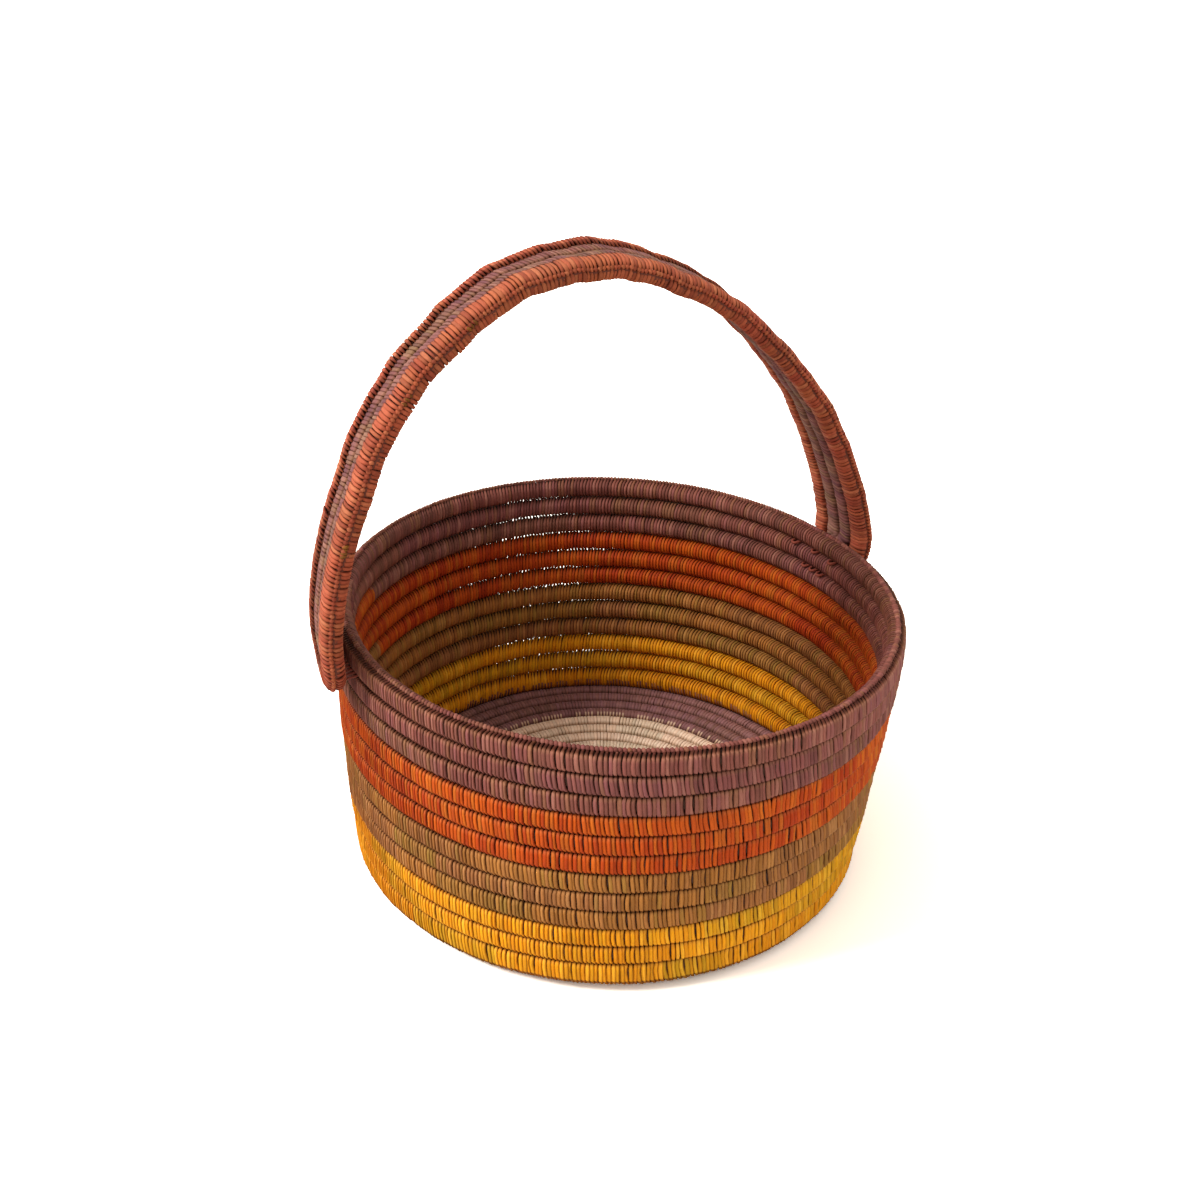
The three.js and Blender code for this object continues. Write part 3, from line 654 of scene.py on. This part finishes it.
def wrapping_tree():
    tree = bpy.data.node_groups.new("wrap a row", "GeometryNodeTree")
    tree.interface.new_socket("Geometry", in_out="OUTPUT", socket_type="NodeSocketGeometry")
    for name, kind in WRAP_INPUTS.items():
        tree.interface.new_socket(name, in_out="INPUT", socket_type=f"NodeSocket{kind}")
    graph = Graph(tree)
    given = graph.node("NodeGroupInput")
    seed = given.output("Seed")

    line = graph.node("GeometryNodeMeshToCurve", None, {"Mesh": given.output("Line")})
    sockets = {"Curve": line, "Length": given.output("Pitch")}
    places = graph.node("GeometryNodeResampleCurve", {"mode": "LENGTH"}, sockets)
    index = graph.node("GeometryNodeInputIndex")
    wander = (index * WANDER_PACE).sine() * HANDFUL_WANDER
    batch = ((index + wander) / given.output("Run")).floor()
    sockets = {"Min": 0.0, "Max": 1.0, "ID": batch, "Seed": seed + 1}
    shared = graph.node("FunctionNodeRandomValue", {"data_type": "FLOAT"}, sockets)
    places = store(graph, places, "tone", spread(graph, seed, 2, 0.0))
    places = store(graph, places, "run", shared)

    side = named(graph, "side", "FLOAT_VECTOR")
    settings = {"primary_axis": "Y", "secondary_axis": "Z"}
    sockets = {"Primary Axis": side, "Secondary Axis": named(graph, "up", "FLOAT_VECTOR")}
    square = graph.node("FunctionNodeAxesToRotation", settings, sockets)
    own_slant = spread(graph, seed, 3, -OWN_SLANT, OWN_SLANT)
    slant = given.output("Slant") + (own_slant + shared * 2 - 1) * given.output("Slant spread")
    skew = given.output("Skew") + spread(graph, seed, 4, -OWN_SKEW, OWN_SKEW)
    skew = skew + (named(graph, "turns", "FLOAT") * WAVE_PACE).sine() * given.output("Skew wave")
    lean = graph.node("ShaderNodeCombineXYZ", None, {"Y": slant, "Z": skew})
    lean = graph.node("FunctionNodeEulerToRotation", None, {"Euler": lean})
    turned = graph.node("FunctionNodeRotateRotation", {"rotation_space": "LOCAL"}, {0: square, 1: lean})
    lift = 1 + spread(graph, seed, 5) * given.output("Lift")
    width = given.output("Width") * (1 + spread(graph, seed, 6) * given.output("Width spread"))
    sockets = {
        "X": width,
        "Y": named(graph, "half_side", "FLOAT") * lift,
        "Z": named(graph, "half_up", "FLOAT") * (1 + spread(graph, seed, 7, 0.0, 0.04)),
    }
    size = graph.node("ShaderNodeCombineXYZ", None, sockets)

    sockets = {"Collection": given.output("Forms"), "Separate Children": True, "Reset Children": True}
    forms = graph.node("GeometryNodeCollectionInfo", None, sockets)
    choice = spread(graph, seed, 8, 0.0, MOST_FORMS)
    sockets = {
        "Points": places,
        "Instance": forms,
        "Pick Instance": True,
        "Instance Index": choice.floor(),
        "Rotation": turned,
        "Scale": size,
    }
    strips = graph.node("GeometryNodeInstanceOnPoints", None, sockets)
    sockets = {"X": spread(graph, seed, 9) * given.output("Pitch") * OWN_SHIFT}
    shift = graph.node("ShaderNodeCombineXYZ", None, sockets)
    sockets = {"Instances": strips, "Translation": shift, "Local Space": True}
    strips = graph.node("GeometryNodeTranslateInstances", None, sockets)
    solid = graph.node("GeometryNodeRealizeInstances", None, {"Geometry": strips})
    sockets = {"Geometry": solid, "Material": given.output("Finish")}
    dressed = graph.node("GeometryNodeSetMaterial", None, sockets)
    graph.connect(tree.nodes.new("NodeGroupOutput"), "Geometry", dressed)
    return tree


wrap_tree = wrapping_tree()


# %% From a line to a plain mesh
def line_object(name, stations):
    """The winding line as a chain of points, in metres, that carry their directions, half sizes and turns."""
    mesh = bpy.data.meshes.new(name)
    points = [station.middle * MM for station in stations]
    mesh.from_pydata(points, [(i, i + 1) for i in range(len(points) - 1)], [])
    for key, kind, values in (
        ("side", "FLOAT_VECTOR", [station.side for station in stations]),
        ("up", "FLOAT_VECTOR", [station.up for station in stations]),
        ("half_side", "FLOAT", [station.half_side * MM for station in stations]),
        ("half_up", "FLOAT", [station.half_up * MM for station in stations]),
        ("turns", "FLOAT", [station.turns for station in stations]),
    ):
        layer = mesh.attributes.new(key, kind, "POINT")
        field = "vector" if kind == "FLOAT_VECTOR" else "value"
        layer.data.foreach_set(field, np.array(values, np.float32).ravel())
    line = bpy.data.objects.new(name, mesh)
    bpy.context.scene.collection.objects.link(line)
    return line


def run_tree(line, tree, values):
    """Puts the tree on the line, and turns what it makes into a plain mesh."""
    modifier = line.modifiers.new("rows", "NODES")
    modifier.node_group = tree
    for item in tree.interface.items_tree:
        if item.in_out == "INPUT" and item.name in values:
            modifier[item.identifier] = values[item.name]
    line.update_tag()
    depsgraph = bpy.context.evaluated_depsgraph_get()
    mesh = bpy.data.meshes.new_from_object(
        line.evaluated_get(depsgraph), preserve_all_data_layers=True, depsgraph=depsgraph
    )
    line.modifiers.clear()
    line.data = mesh
    return line


def finish_piece(piece, slot, *replaced):
    """Every piece is fixed to the one body, and may take the place of solids. The slot is not used."""
    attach(piece, "root")
    if replaced:
        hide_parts(*replaced)
    print(piece.name, len(piece.data.polygons), "faces")


# %% [markdown]
# ## The colours of the leaf
# Each strip was dyed by hand, so no two are quite alike, and the colour also drifts from one handful of leaf
# to the next. One ramp is read with the strip's own number and a second one with the number of its handful.
# Fine lines run along the strip. The upper part of its outer face is paler: partly the dye has rubbed off
# there, and partly a highlight is painted there. Painted shade makes it darker at its sides, in the grooves
# between the rows and inside the basket, and warmer where the painted shade is deep. Where a colour begins, a
# touch of the one before shows among the strips.


# %% Leaf finish
def linear(value):
    value /= 255
    return value / 12.92 if value <= 0.04045 else ((value + 0.055) / 1.055) ** 2.4


def tint(red, green, blue):
    """A colour as it looks on a screen, from 0 to 255, turned into the linear values that shaders use."""
    return (linear(red), linear(green), linear(blue), 1)


class Finish(Graph):
    """A material that is being built, with its main shader."""

    def __init__(self, name):
        self.material = bpy.data.materials.new(name)
        self.material.use_nodes = True
        super().__init__(self.material.node_tree)
        self.shader = self.tree.nodes["Principled BSDF"]

    def attribute(self, name):
        return self.node("ShaderNodeAttribute", {"attribute_name": name})

    def mix(self, share, first, second, blend="MIX"):
        settings = {"data_type": "RGBA", "blend_type": blend}
        return self.node("ShaderNodeMix", settings, {"Factor": share, "A": first, "B": second})

    def pick(self, colours, number):
        """One of the colours. Each has an equal part of the numbers from 0 to 1."""
        stops = [(i / len(colours), tint(*colour)) for i, colour in enumerate(colours)]
        ramp = self.node("ShaderNodeValToRGB", {"stops": stops}, {"Fac": number})
        ramp.socket.node.color_ramp.interpolation = "CONSTANT"
        return ramp

    def noise(self, vector, scale, detail):
        sockets = {"Vector": vector, "Scale": scale, "Detail": detail}
        return self.node("ShaderNodeTexNoise", None, sockets)

    def set(self, name, value):
        self.connect(self.shader, name, value)


HANDFUL_SHARE = 0.45  # how much of a strip's colour comes from its handful
FIBRE_DARKEST = 0.62  # the fine lines multiply the colour by this, and by up to the contrast more
FIBRE_CONTRAST = 0.78
# Rubbed-off dye and a painted highlight: the upper part of a strip's outer face is mixed towards this pale
# colour.
WORN_AND_HIGHLIGHT_COLOUR = (240, 190, 130)
WORN_AND_HIGHLIGHT_SHARE = 0.2
# Painted shade: the shares of light below are taken out of the leaf's colour.
FLAT_EDGE = 0.55  # what the outward edge of a flat row loses of its light
TOP_EDGE = 0.7  # and the top of a row on the outside of the wall
BOTTOM_EDGE = 0.6  # and the bottom of it
INSIDE_EDGE = 0.25  # and both on the inside
TICK_FADE = 0.02  # the turns over which ticks begin and end


def leaf_ticks(finish, flat, first, tone, across, outward, level):
    """How much of the last colour shows, in the first turn of a new one: only in the middle of some strips."""
    turns = finish.attribute("turns").output("Fac")
    stretch = turns.rise(first, first + TICK_FADE) * (1 - turns.rise(first + 1, first + 1 + TICK_FADE))
    under = (1 - outward.rise(-0.6, -0.2)) * (1 - abs(across).rise(0.3, 0.5))
    if not flat:
        under = under * (1 - (level + tone * 0.5).rise(0.1, 0.3))
    return stretch * under * tone.rise(0.3, 0.35)


def leaf_shade(flat, inside, groove, edge, across, outward, level):
    """Painted shade: how much of its light a place on the strip keeps, in the grooves, between the rows, at the
    edges of flat rows and inside the basket.
    """
    # Painted shade in the grooves at both sides of the strip.
    sunk = 1 - abs(across).rise(0.5, 1.0) * groove
    if flat:
        seam_shade = (1 - outward.rise(0.5, 1.0) * FLAT_EDGE) * (1 - (-outward).rise(0.5, 1.0) * edge)
    else:
        front = outward.rise(0.1, 0.5)
        top = level.rise(0.7, 0.9) * front * TOP_EDGE
        bottom = (-level).rise(0.82, 0.98) * front * BOTTOM_EDGE
        both = abs(level).rise(0.3, 1.0) * (1 - outward.rise(-0.4, 0.2)) * INSIDE_EDGE
        seam_shade = (1 - top) * (1 - bottom) * (1 - both)
    return sunk * seam_shade * (1 - (1 - outward.rise(-0.6, 0.5)) * (1 - inside))


def leaf(name, strips, handfuls, inside=0.83, groove=0.58, flat=False, edge=0.55, ticks=None):
    """A dyed leaf, with painted shade: the inside of the basket keeps a share of its light, and a groove
    between two strips loses one. In flat work the rows lie side by side, and their inward edge loses a share
    too. The ticks are the colour of the row before, and the turn in which it shows."""
    finish = Finish(name)
    tone = finish.attribute("tone").output("Fac")
    run = finish.attribute("run").output("Fac")
    parts = finish.node("ShaderNodeSeparateXYZ", None, {"Vector": finish.attribute("place").output("Vector")})
    place = [parts.output(axis) for axis in "XYZ"]
    across, outward, level = place

    colour = finish.mix(HANDFUL_SHARE, finish.pick(strips, tone), finish.pick(handfuls, run))
    if ticks:
        tick_colour, first = ticks
        colour = finish.mix(leaf_ticks(finish, flat, first, tone, *place), colour, tint(*tick_colour))

    sockets = {"X": across * 1.6 + tone * 60, "Y": outward * 0.5, "Z": level * 0.5 + run * 9}
    stretched = finish.node("ShaderNodeCombineXYZ", None, sockets)
    fibres = finish.noise(stretched, 3.0, 3.0).output("Fac")
    colour = finish.mix(1.0, colour, FIBRE_DARKEST + fibres * FIBRE_CONTRAST, "MULTIPLY")
    # Partly rubbed-off dye and partly a painted highlight, on the upper part of the outer face.
    worn_and_highlight = outward.rise(0.3, 0.8) * level.rise(0.3, 0.75) * (1 - level.rise(0.85, 0.97))
    colour = finish.mix(worn_and_highlight * fibres * inside * WORN_AND_HIGHLIGHT_SHARE, colour, tint(*WORN_AND_HIGHLIGHT_COLOUR))

    # Painted shade multiplied into the colour. It takes more green and blue than red where it is deep, a
    # painted warm bounce light between the dyed strips.
    shade = leaf_shade(flat, inside, groove, edge, *place)
    sockets = {"Red": shade, "Green": shade.power(1.25), "Blue": shade.power(1.5)}
    warm = finish.node("ShaderNodeCombineColor", {"mode": "RGB"}, sockets)
    finish.set("Base Color", finish.mix(1.0, colour, warm, "MULTIPLY"))
    finish.set("Roughness", 0.55 + fibres * 0.25)
    finish.set("Specular IOR Level", 0.14)
    sockets = {"Strength": 0.35, "Distance": 0.0003, "Height": fibres}
    finish.set("Normal", finish.node("ShaderNodeBump", None, sockets))
    return finish.material


# %% [markdown]
# ## The dyes
# The colours were chosen. A dye has a list for single strips and mostly a shorter one for handfuls.

# %% Dyes
PLUM = [
    (144, 84, 78), (130, 74, 69), (153, 93, 83), (126, 79, 70), (147, 89, 91),
    (114, 67, 62), (147, 100, 74), (172, 116, 104), (104, 60, 54),
]
PLUM_HANDFULS = [(142, 84, 78), (134, 79, 75), (147, 91, 80), (138, 93, 74), (126, 84, 74), (134, 81, 83)]
ORANGE = [
    (195, 80, 21), (208, 94, 16), (181, 64, 18), (199, 85, 23), (172, 58, 16),
    (188, 104, 30), (214, 112, 30), (158, 50, 14),
]
ORANGE_HANDFULS = [(195, 78, 22), (202, 88, 20), (180, 62, 21), (190, 77, 26), (199, 94, 28)]
TAN = [
    (173, 113, 52), (158, 103, 56), (181, 122, 62), (147, 98, 50), (166, 111, 66),
    (158, 120, 56), (194, 138, 80), (130, 84, 40),
]
TAN_HANDFULS = [(172, 113, 53), (160, 105, 69), (160, 122, 56), (176, 117, 56), (153, 102, 64)]
YELLOW = [
    (243, 162, 21), (249, 175, 28), (230, 148, 18), (214, 156, 28), (242, 167, 36),
    (222, 139, 17), (255, 190, 56), (198, 138, 26),
]
YELLOW_HANDFULS = [(243, 162, 21), (236, 154, 20), (210, 160, 31), (246, 169, 25), (198, 157, 28)]
UNDYED = [(240, 212, 189), (247, 223, 201), (232, 205, 180), (222, 201, 178), (243, 212, 185)]
UNDYED_HANDFULS = [(240, 209, 187), (234, 207, 183), (215, 200, 175), (245, 219, 198)]
BASE_PLUM = [(141, 100, 99), (130, 92, 92), (148, 107, 102), (125, 90, 83), (143, 102, 107)]
OLIVE = [(162, 112, 57), (142, 96, 48), (175, 120, 57), (150, 107, 63)]
RED = [
    (187, 97, 71), (178, 85, 61), (198, 110, 80), (172, 81, 59), (191, 104, 68),
    (165, 94, 64), (150, 78, 58), (206, 128, 92), (140, 62, 48),
]
RED_HANDFULS = [(189, 96, 73), (184, 87, 68), (198, 106, 78), (176, 96, 68), (160, 82, 62), (196, 112, 80)]
HANDLE_PLUM = [
    (144, 92, 88), (131, 82, 84), (153, 102, 98), (129, 94, 82), (121, 78, 86),
    (142, 108, 84), (104, 66, 74), (170, 122, 108),
]
HANDLE_PLUM_HANDFULS = [(144, 92, 90), (134, 84, 88), (142, 106, 84), (151, 102, 96)]
STITCH = [(132, 66, 54)]  # the red in shade
PLUM_TICKS = ((146, 98, 90), BASE_ROWS)
CREAM_TICKS = ((216, 186, 160), BASE_ROWS - PLUM_BASE_ROWS)

FLAT = {"flat": True, "inside": 1.0}
leaves = {
    "plum": leaf("leaf_plum", PLUM, PLUM_HANDFULS, inside=0.9),
    "orange": leaf("leaf_orange", ORANGE, ORANGE_HANDFULS),
    "tan": leaf("leaf_tan", TAN, TAN_HANDFULS),
    "yellow": leaf("leaf_yellow", YELLOW, YELLOW_HANDFULS, ticks=PLUM_TICKS),
    "undyed": leaf("leaf_undyed", UNDYED, UNDYED_HANDFULS, groove=0.45, **FLAT),
    "red": leaf("leaf_red", RED, RED_HANDFULS, groove=0.8, edge=0.3, **FLAT),
    "handle_plum": leaf("leaf_handle_plum", HANDLE_PLUM, HANDLE_PLUM_HANDFULS, groove=0.7, **FLAT),
    "base_plum": leaf("leaf_base_plum", BASE_PLUM, BASE_PLUM, groove=0.4, ticks=CREAM_TICKS, **FLAT),
    "olive": leaf("leaf_olive", OLIVE, OLIVE, **FLAT),
    "stitch": leaf("leaf_stitch", STITCH, STITCH, **FLAT),
}


# %% [markdown]
# ## The fibre bundle
# Under the strips lies the bundle of fibre. It only shows as the dark bottom of the grooves, so it is a plain
# tube along the same line, a little smaller than the row.


# %% Fibre finish and the tube
def fibre_finish(name, colour):
    finish = Finish(name)
    place = finish.node("ShaderNodeTexCoord").output("Object")
    streaks = finish.noise(place, 900.0, 2.0).output("Fac")
    finish.set("Base Color", finish.mix(1.0, tint(*colour), 0.6 + streaks * 0.7, "MULTIPLY"))
    finish.set("Roughness", 0.8 + streaks * 0.15)
    return finish.material


# Painted shade: the bundle only shows at the bottom of the grooves, so it is given the dark colour of fibre in
# shade.
fibre = fibre_finish("fibre_in_shade", (70, 42, 30))
handle_fibre = fibre_finish("handle_fibre_in_shade", (104, 52, 38))
CORE_SIDES = 8


def tube(name, stations, material, side_share, high_share, low_share):
    """A closed tube with capped ends. Its size is a share of the row's: sideways, upwards and downwards."""
    verts = []
    for station in stations:
        for i in range(CORE_SIDES):
            angle = 2 * math.pi * (i + 0.5) / CORE_SIDES
            rise = math.sin(angle)
            share = high_share if rise > 0 else low_share
            side = station.side * (station.half_side * side_share * math.cos(angle))
            point = station.middle + side + station.up * (station.half_up * share * rise)
            verts.append(point * MM)
    faces = []
    for ring in range(len(stations) - 1):
        for i in range(CORE_SIDES):
            a = ring * CORE_SIDES + i
            b = ring * CORE_SIDES + (i + 1) % CORE_SIDES
            faces.append((a, a + CORE_SIDES, b + CORE_SIDES, b))
    faces.append(tuple(range(CORE_SIDES)))
    faces.append(tuple(reversed(range(len(verts) - CORE_SIDES, len(verts)))))
    mesh = bpy.data.meshes.new(name)
    mesh.from_pydata(verts, [], faces)
    mesh.polygons.foreach_set("use_smooth", [True] * len(faces))
    mesh.materials.append(material)
    piece = bpy.data.objects.new(name, mesh)
    bpy.context.scene.collection.objects.link(piece)
    return piece


STRIP_OVERLAP = 1.22  # the width of a strip at its foot, as a share of the pitch


def wrap(name, stations, forms, colour, pitch, **changes):
    """Strips of one colour along a stretch of winding line. The changes are for the inputs of the tree."""
    values = {
        "Forms": forms,
        "Pitch": pitch * MM,
        "Width": pitch * STRIP_OVERLAP * MM,
        "Width spread": 0.14,
        "Slant": 0.06,
        "Slant spread": 0.07,
        "Skew": 0.0,
        "Skew wave": 0.0,
        "Lift": 0.03,
        "Run": 24,
        "Finish": leaves[colour],
    }
    values.update(changes)
    return run_tree(line_object(name, stations), wrap_tree, values)


# %% [markdown]
# ## The base
# The base is wound flat. The photograph shows undyed rows inside and four plum ones outside. The tight first
# turns, which are one disc among the solids, run on inwards to the very middle.

# %% Base pieces
STRIP_PITCH = 2.0
START_TURNS = -3.0
UNDYED_RUN = 18  # strips in a handful of undyed leaf

undyed_end = BASE_ROWS - PLUM_BASE_ROWS
base_core = tube("base_fibre", coil(START_TURNS, BASE_ROWS), fibre, 0.8, 0.8, 0.6)
finish_piece(base_core, "fibre", "base_foundation")
for name, first, last, colour, changes, slot, solid in (
    ("undyed", 0, undyed_end, "undyed", {"Seed": 11, "Run": UNDYED_RUN}, "leaf_undyed", "base_binding_undyed"),
    ("start", START_TURNS, 0, "undyed", {"Seed": 12, "Run": UNDYED_RUN}, "leaf_undyed", "base_start_disc"),
    ("plum", undyed_end, BASE_ROWS, "base_plum", {"Seed": 13}, "leaf_plum", "base_binding_plum"),
):
    strips = wrap(f"base_strips_{name}", coil(first, last), base_strips, colour, STRIP_PITCH, **changes)
    finish_piece(strips, slot, solid)

# %% [markdown]
# ## The wall
# Three rows of each colour. The strips of the lowest row reach further down, over the edge of the base. The
# last row thins out over the climb of the row below, so that the rim is level. Every strip passes through the
# wall at a skew, so the small holes only line up with the view at the far side, left of the middle.

# %% Wall pieces
WALL_SKEW = {"Skew": -0.33, "Skew wave": 0.1}
LAST_CLIMB = 0.4  # the part of the last climb that is left out, because the row is too thin there
coil_end = last_turn + 1 - CLIMB_TURN * LAST_CLIMB
foot_end = BASE_ROWS + 1
foot_line = coil(BASE_ROWS, foot_end)
foot_core = tube("foot_fibre", foot_line, fibre, 0.84, 0.9, 1.6)
finish_piece(foot_core, "fibre", "wall_foundation")
wall_core = tube("wall_fibre", coil(foot_end, coil_end), fibre, 0.85, 0.87, 0.87)
finish_piece(wall_core, "fibre", "wall_foundation")
foot = wrap("wall_strips_foot", foot_line, foot_strips, "yellow", STRIP_PITCH, Seed=20, **WALL_SKEW)
finish_piece(foot, "leaf_yellow", "wall_binding_yellow")
for i, colour in enumerate(("yellow", "tan", "orange", "plum")):
    begin = max(BASE_ROWS + i * ROWS_PER_COLOUR, foot_end)
    end = min(BASE_ROWS + (i + 1) * ROWS_PER_COLOUR, coil_end)
    line = coil(begin, end)
    strips = wrap(f"wall_strips_{colour}", line, wall_strips, colour, STRIP_PITCH, Seed=21 + i, **WALL_SKEW)
    finish_piece(strips, f"leaf_{colour}", f"wall_binding_{colour}")

# %% [markdown]
# ## The chain along the rim
# Every stitch of the last row is locked by a small loop, and together they make a twisted chain along the top.

# %% Rim chain
CHAIN_STEPS = 720
CHAIN_SIZE = 1.15  # half the thickness of the chain
RIM_CHAIN_WIDTH = 1.3  # how much wider than thick the chain is on the rim
RIM_CHAIN_OUT = 0.3  # it lies this far outside the middle of the wall, and its middle this far above the rim
RIM_CHAIN_UP = 0.35
CHAIN = {"Slant": 0.45, "Slant spread": 0.4, "Skew": 0.4, "Lift": 0.25}


def rim_line():
    stations = []
    for i in range(CHAIN_STEPS + 1):
        angle = JOIN_ANGLE - 2 * math.pi * i / CHAIN_STEPS
        middle = wall_point(angle, rim_top - ROW_PITCH / 2, RIM_CHAIN_OUT)
        middle.z = rim_top + RIM_CHAIN_UP
        side = outwards(angle)
        middle += side * waver(i / CHAIN_STEPS, ROW_WAVER)
        stations.append(Station(middle, side, UP, RIM_CHAIN_WIDTH * CHAIN_SIZE, CHAIN_SIZE))
    return stations


chain = wrap("rim_chain", rim_line(), beads, "plum", STRIP_PITCH, Seed=28, **CHAIN)
finish_piece(chain, "leaf_plum", "rim_edging")

# %% [markdown]
# ## The handle
# The red strips have small points that lie over the edge of the plum rows. The turns that sew the rows
# together leave a chain along both outer edges of the strap. Where a new strand was begun, a knot in another
# colour sits on the near edge.

# %% Handle pieces
HANDLE_STRIP_PITCH = 2.1
HANDLE_ROWS = (
    ("plum", plum_offset, "handle_plum", plum_strips, 0.1),
    ("red", red_offset, "red", red_strips, -0.1),
)
HANDLE_LOOK = {"Slant": 0.0, "Slant spread": 0.12, "Width spread": 0.26, "Lift": 0.1, "Run": 9}
for colour, offset, material, forms, skew in HANDLE_ROWS:
    stations = loop(offset)
    core = tube(f"handle_fibre_{colour}", stations, handle_fibre, 0.98, 0.84, 0.84)
    finish_piece(core, "fibre", f"handle_foundation_{colour}")
    name = f"handle_strips_{colour}"
    strips = wrap(name, stations, forms, material, HANDLE_STRIP_PITCH, Seed=31, Skew=skew, **HANDLE_LOOK)
    finish_piece(strips, f"leaf_{material}", f"handle_binding_{colour}")


def edge_station(station, side_share, up_share, half_side, half_up):
    """A place on the outer edge of a red row, at shares of the row's half sizes."""
    middle = station.middle - station.side * (side_share * station.half_side)
    middle += station.up * (up_share * station.half_up)
    return Station(middle, -station.side, station.up, half_side, half_up)


edge_line = [edge_station(station, 0.97, 0.3, CHAIN_SIZE, CHAIN_SIZE) for station in loop(red_offset)]
edge = wrap("handle_chain", edge_line, beads, "red", HANDLE_STRIP_PITCH, Seed=33, **CHAIN)
finish_piece(edge, "leaf_red")

KNOT_SHARES = (0.10, 0.24, 0.33)  # along the strap, from the left foot
KNOT_STEP = 0.0022
KNOT_PITCH = 1.6
for i, share in enumerate(KNOT_SHARES):
    row = [strap_station(share + step * KNOT_STEP, 1, red_offset) for step in range(-2, 3)]
    knot_line = [edge_station(station, 0.92, 0.2, 1.9, 1.7) for station in row]
    knot = wrap(f"handle_knot_{i}", knot_line, beads, "olive", KNOT_PITCH, Seed=40 + i, **CHAIN)
    finish_piece(knot, "leaf_red")

# %% [markdown]
# ## The stitches of the feet
# Strands of the same red leaf sew the feet to the wall. Each one lies on the inside of the wall, and both its
# ends go out between the rows into the back of the strap.

# %% Stitch pieces
STRAND = 0.75  # half the thickness of a strand of leaf
STRAND_TIP = 0.6  # how thick its ends are, as a share
STITCH_BEND = 1.2  # from the face of the wall to where a stitch bends outwards
STITCH_CORNER = 1.0
STITCH_WAVER = 0.25


def strand(name, points):
    """A cord through the points, with cut corners."""
    points = [Vector(point) for point in points]
    stations = []
    for i, point in enumerate(points):
        run = (points[min(i + 1, len(points) - 1)] - points[max(i - 1, 0)]).normalized()
        side = run.orthogonal().normalized()
        if stations:
            side = (stations[-1].side - run * stations[-1].side.dot(run)).normalized()
        size = STRAND if 0 < i < len(points) - 1 else STRAND * STRAND_TIP
        stations.append(Station(point, side, run.cross(side), size, size))
    return tube(name, stations, leaves["stitch"], 1.0, 1.0, 1.0)


def sewn_stitch(name, side):
    """A stitch in the place of its solid: across the inside of the wall, and out to the strap at both ends."""
    low, high = [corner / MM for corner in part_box(name)]
    inner, tip = (high.x, low.x) if side < 0 else (low.x, high.x)
    level = (low.z + high.z) / 2
    near = low.y + STRAND
    far = high.y - STRAND
    face = inner + side * STRAND
    bend = face + side * STITCH_BEND
    start = near + STITCH_CORNER
    end = far - STITCH_CORNER
    path = [(tip, near), (bend, near), (face, start), (face, end), (bend, far), (tip, far)]
    points = [(x, y, level + STITCH_WAVER * math.sin(2 * i)) for i, (x, y) in enumerate(path)]
    piece = strand(f"{name}_strand", points)
    finish_piece(piece, "leaf_red", name)


for name in sorted(nodes):
    if "_lashing_" in name:
        sewn_stitch(name, -1 if name.startswith("left") else 1)

# %% [markdown]
# ## Floor and light
# The photograph was taken on a white sweep. The floor is white for the camera and a warm pale grey for
# everything else, so it throws no extra light on the basket, and it keeps the soft shadow. The light comes from
# a warm sky all round and from a broad lamp at the upper left.

# %% Stage
FLOOR_SIZE = 30
FLOOR_FOR_CAMERA = (1.9, 1.9, 1.9, 1)
FLOOR_FOR_LIGHT = (0.8, 0.78, 0.74, 1)
SKY_FOR_CAMERA = (1, 1, 1, 1)
SKY_FOR_LIGHT = (0.87, 0.812, 0.725, 1)
LAMP_STRENGTH = 2.5
LAMP_COLOUR = (1.0, 0.96, 0.9)
LAMP_WIDTH = math.radians(20)
LAMP_TRAVEL = Vector((0.69, -0.22, -0.69))


def floor_finish():
    finish = Finish("floor_white")
    seen = finish.node("ShaderNodeLightPath").output("Is Camera Ray")
    finish.set("Base Color", finish.mix(seen, FLOOR_FOR_LIGHT, FLOOR_FOR_CAMERA))
    finish.set("Roughness", 1.0)
    finish.set("Specular IOR Level", 0.0)
    return finish.material


half = FLOOR_SIZE / 2
floor_corners = [(-half, -half, 0), (half, -half, 0), (half, half, 0), (-half, half, 0)]
floor_mesh = bpy.data.meshes.new("floor")
floor_mesh.from_pydata(floor_corners, [], [(0, 1, 2, 3)])
floor_mesh.materials.append(floor_finish())
floor = bpy.data.objects.new("floor", floor_mesh)
bpy.context.scene.collection.objects.link(floor)

world = bpy.data.worlds.new("studio")
world.use_nodes = True
bpy.context.scene.world = world
sky = Graph(world.node_tree)
seen = sky.node("ShaderNodeLightPath").output("Is Camera Ray")
sockets = {"Factor": seen, "A": SKY_FOR_LIGHT, "B": SKY_FOR_CAMERA}
sky_colour = sky.node("ShaderNodeMix", {"data_type": "RGBA"}, sockets)
sky.connect(world.node_tree.nodes["Background"], "Color", sky_colour)

key = bpy.data.lights.new("key", "SUN")
key.energy = LAMP_STRENGTH
key.color = LAMP_COLOUR
key.angle = LAMP_WIDTH
lamp = bpy.data.objects.new("key", key)
lamp.rotation_euler = LAMP_TRAVEL.to_track_quat("-Z", "Y").to_euler()
bpy.context.scene.collection.objects.link(lamp)

# %% Finish
scene = bpy.context.scene
scene.view_settings.view_transform = "Standard"
for forms in form_sets:
    for form in list(forms.objects):
        bpy.data.objects.remove(form)
    bpy.data.collections.remove(forms)
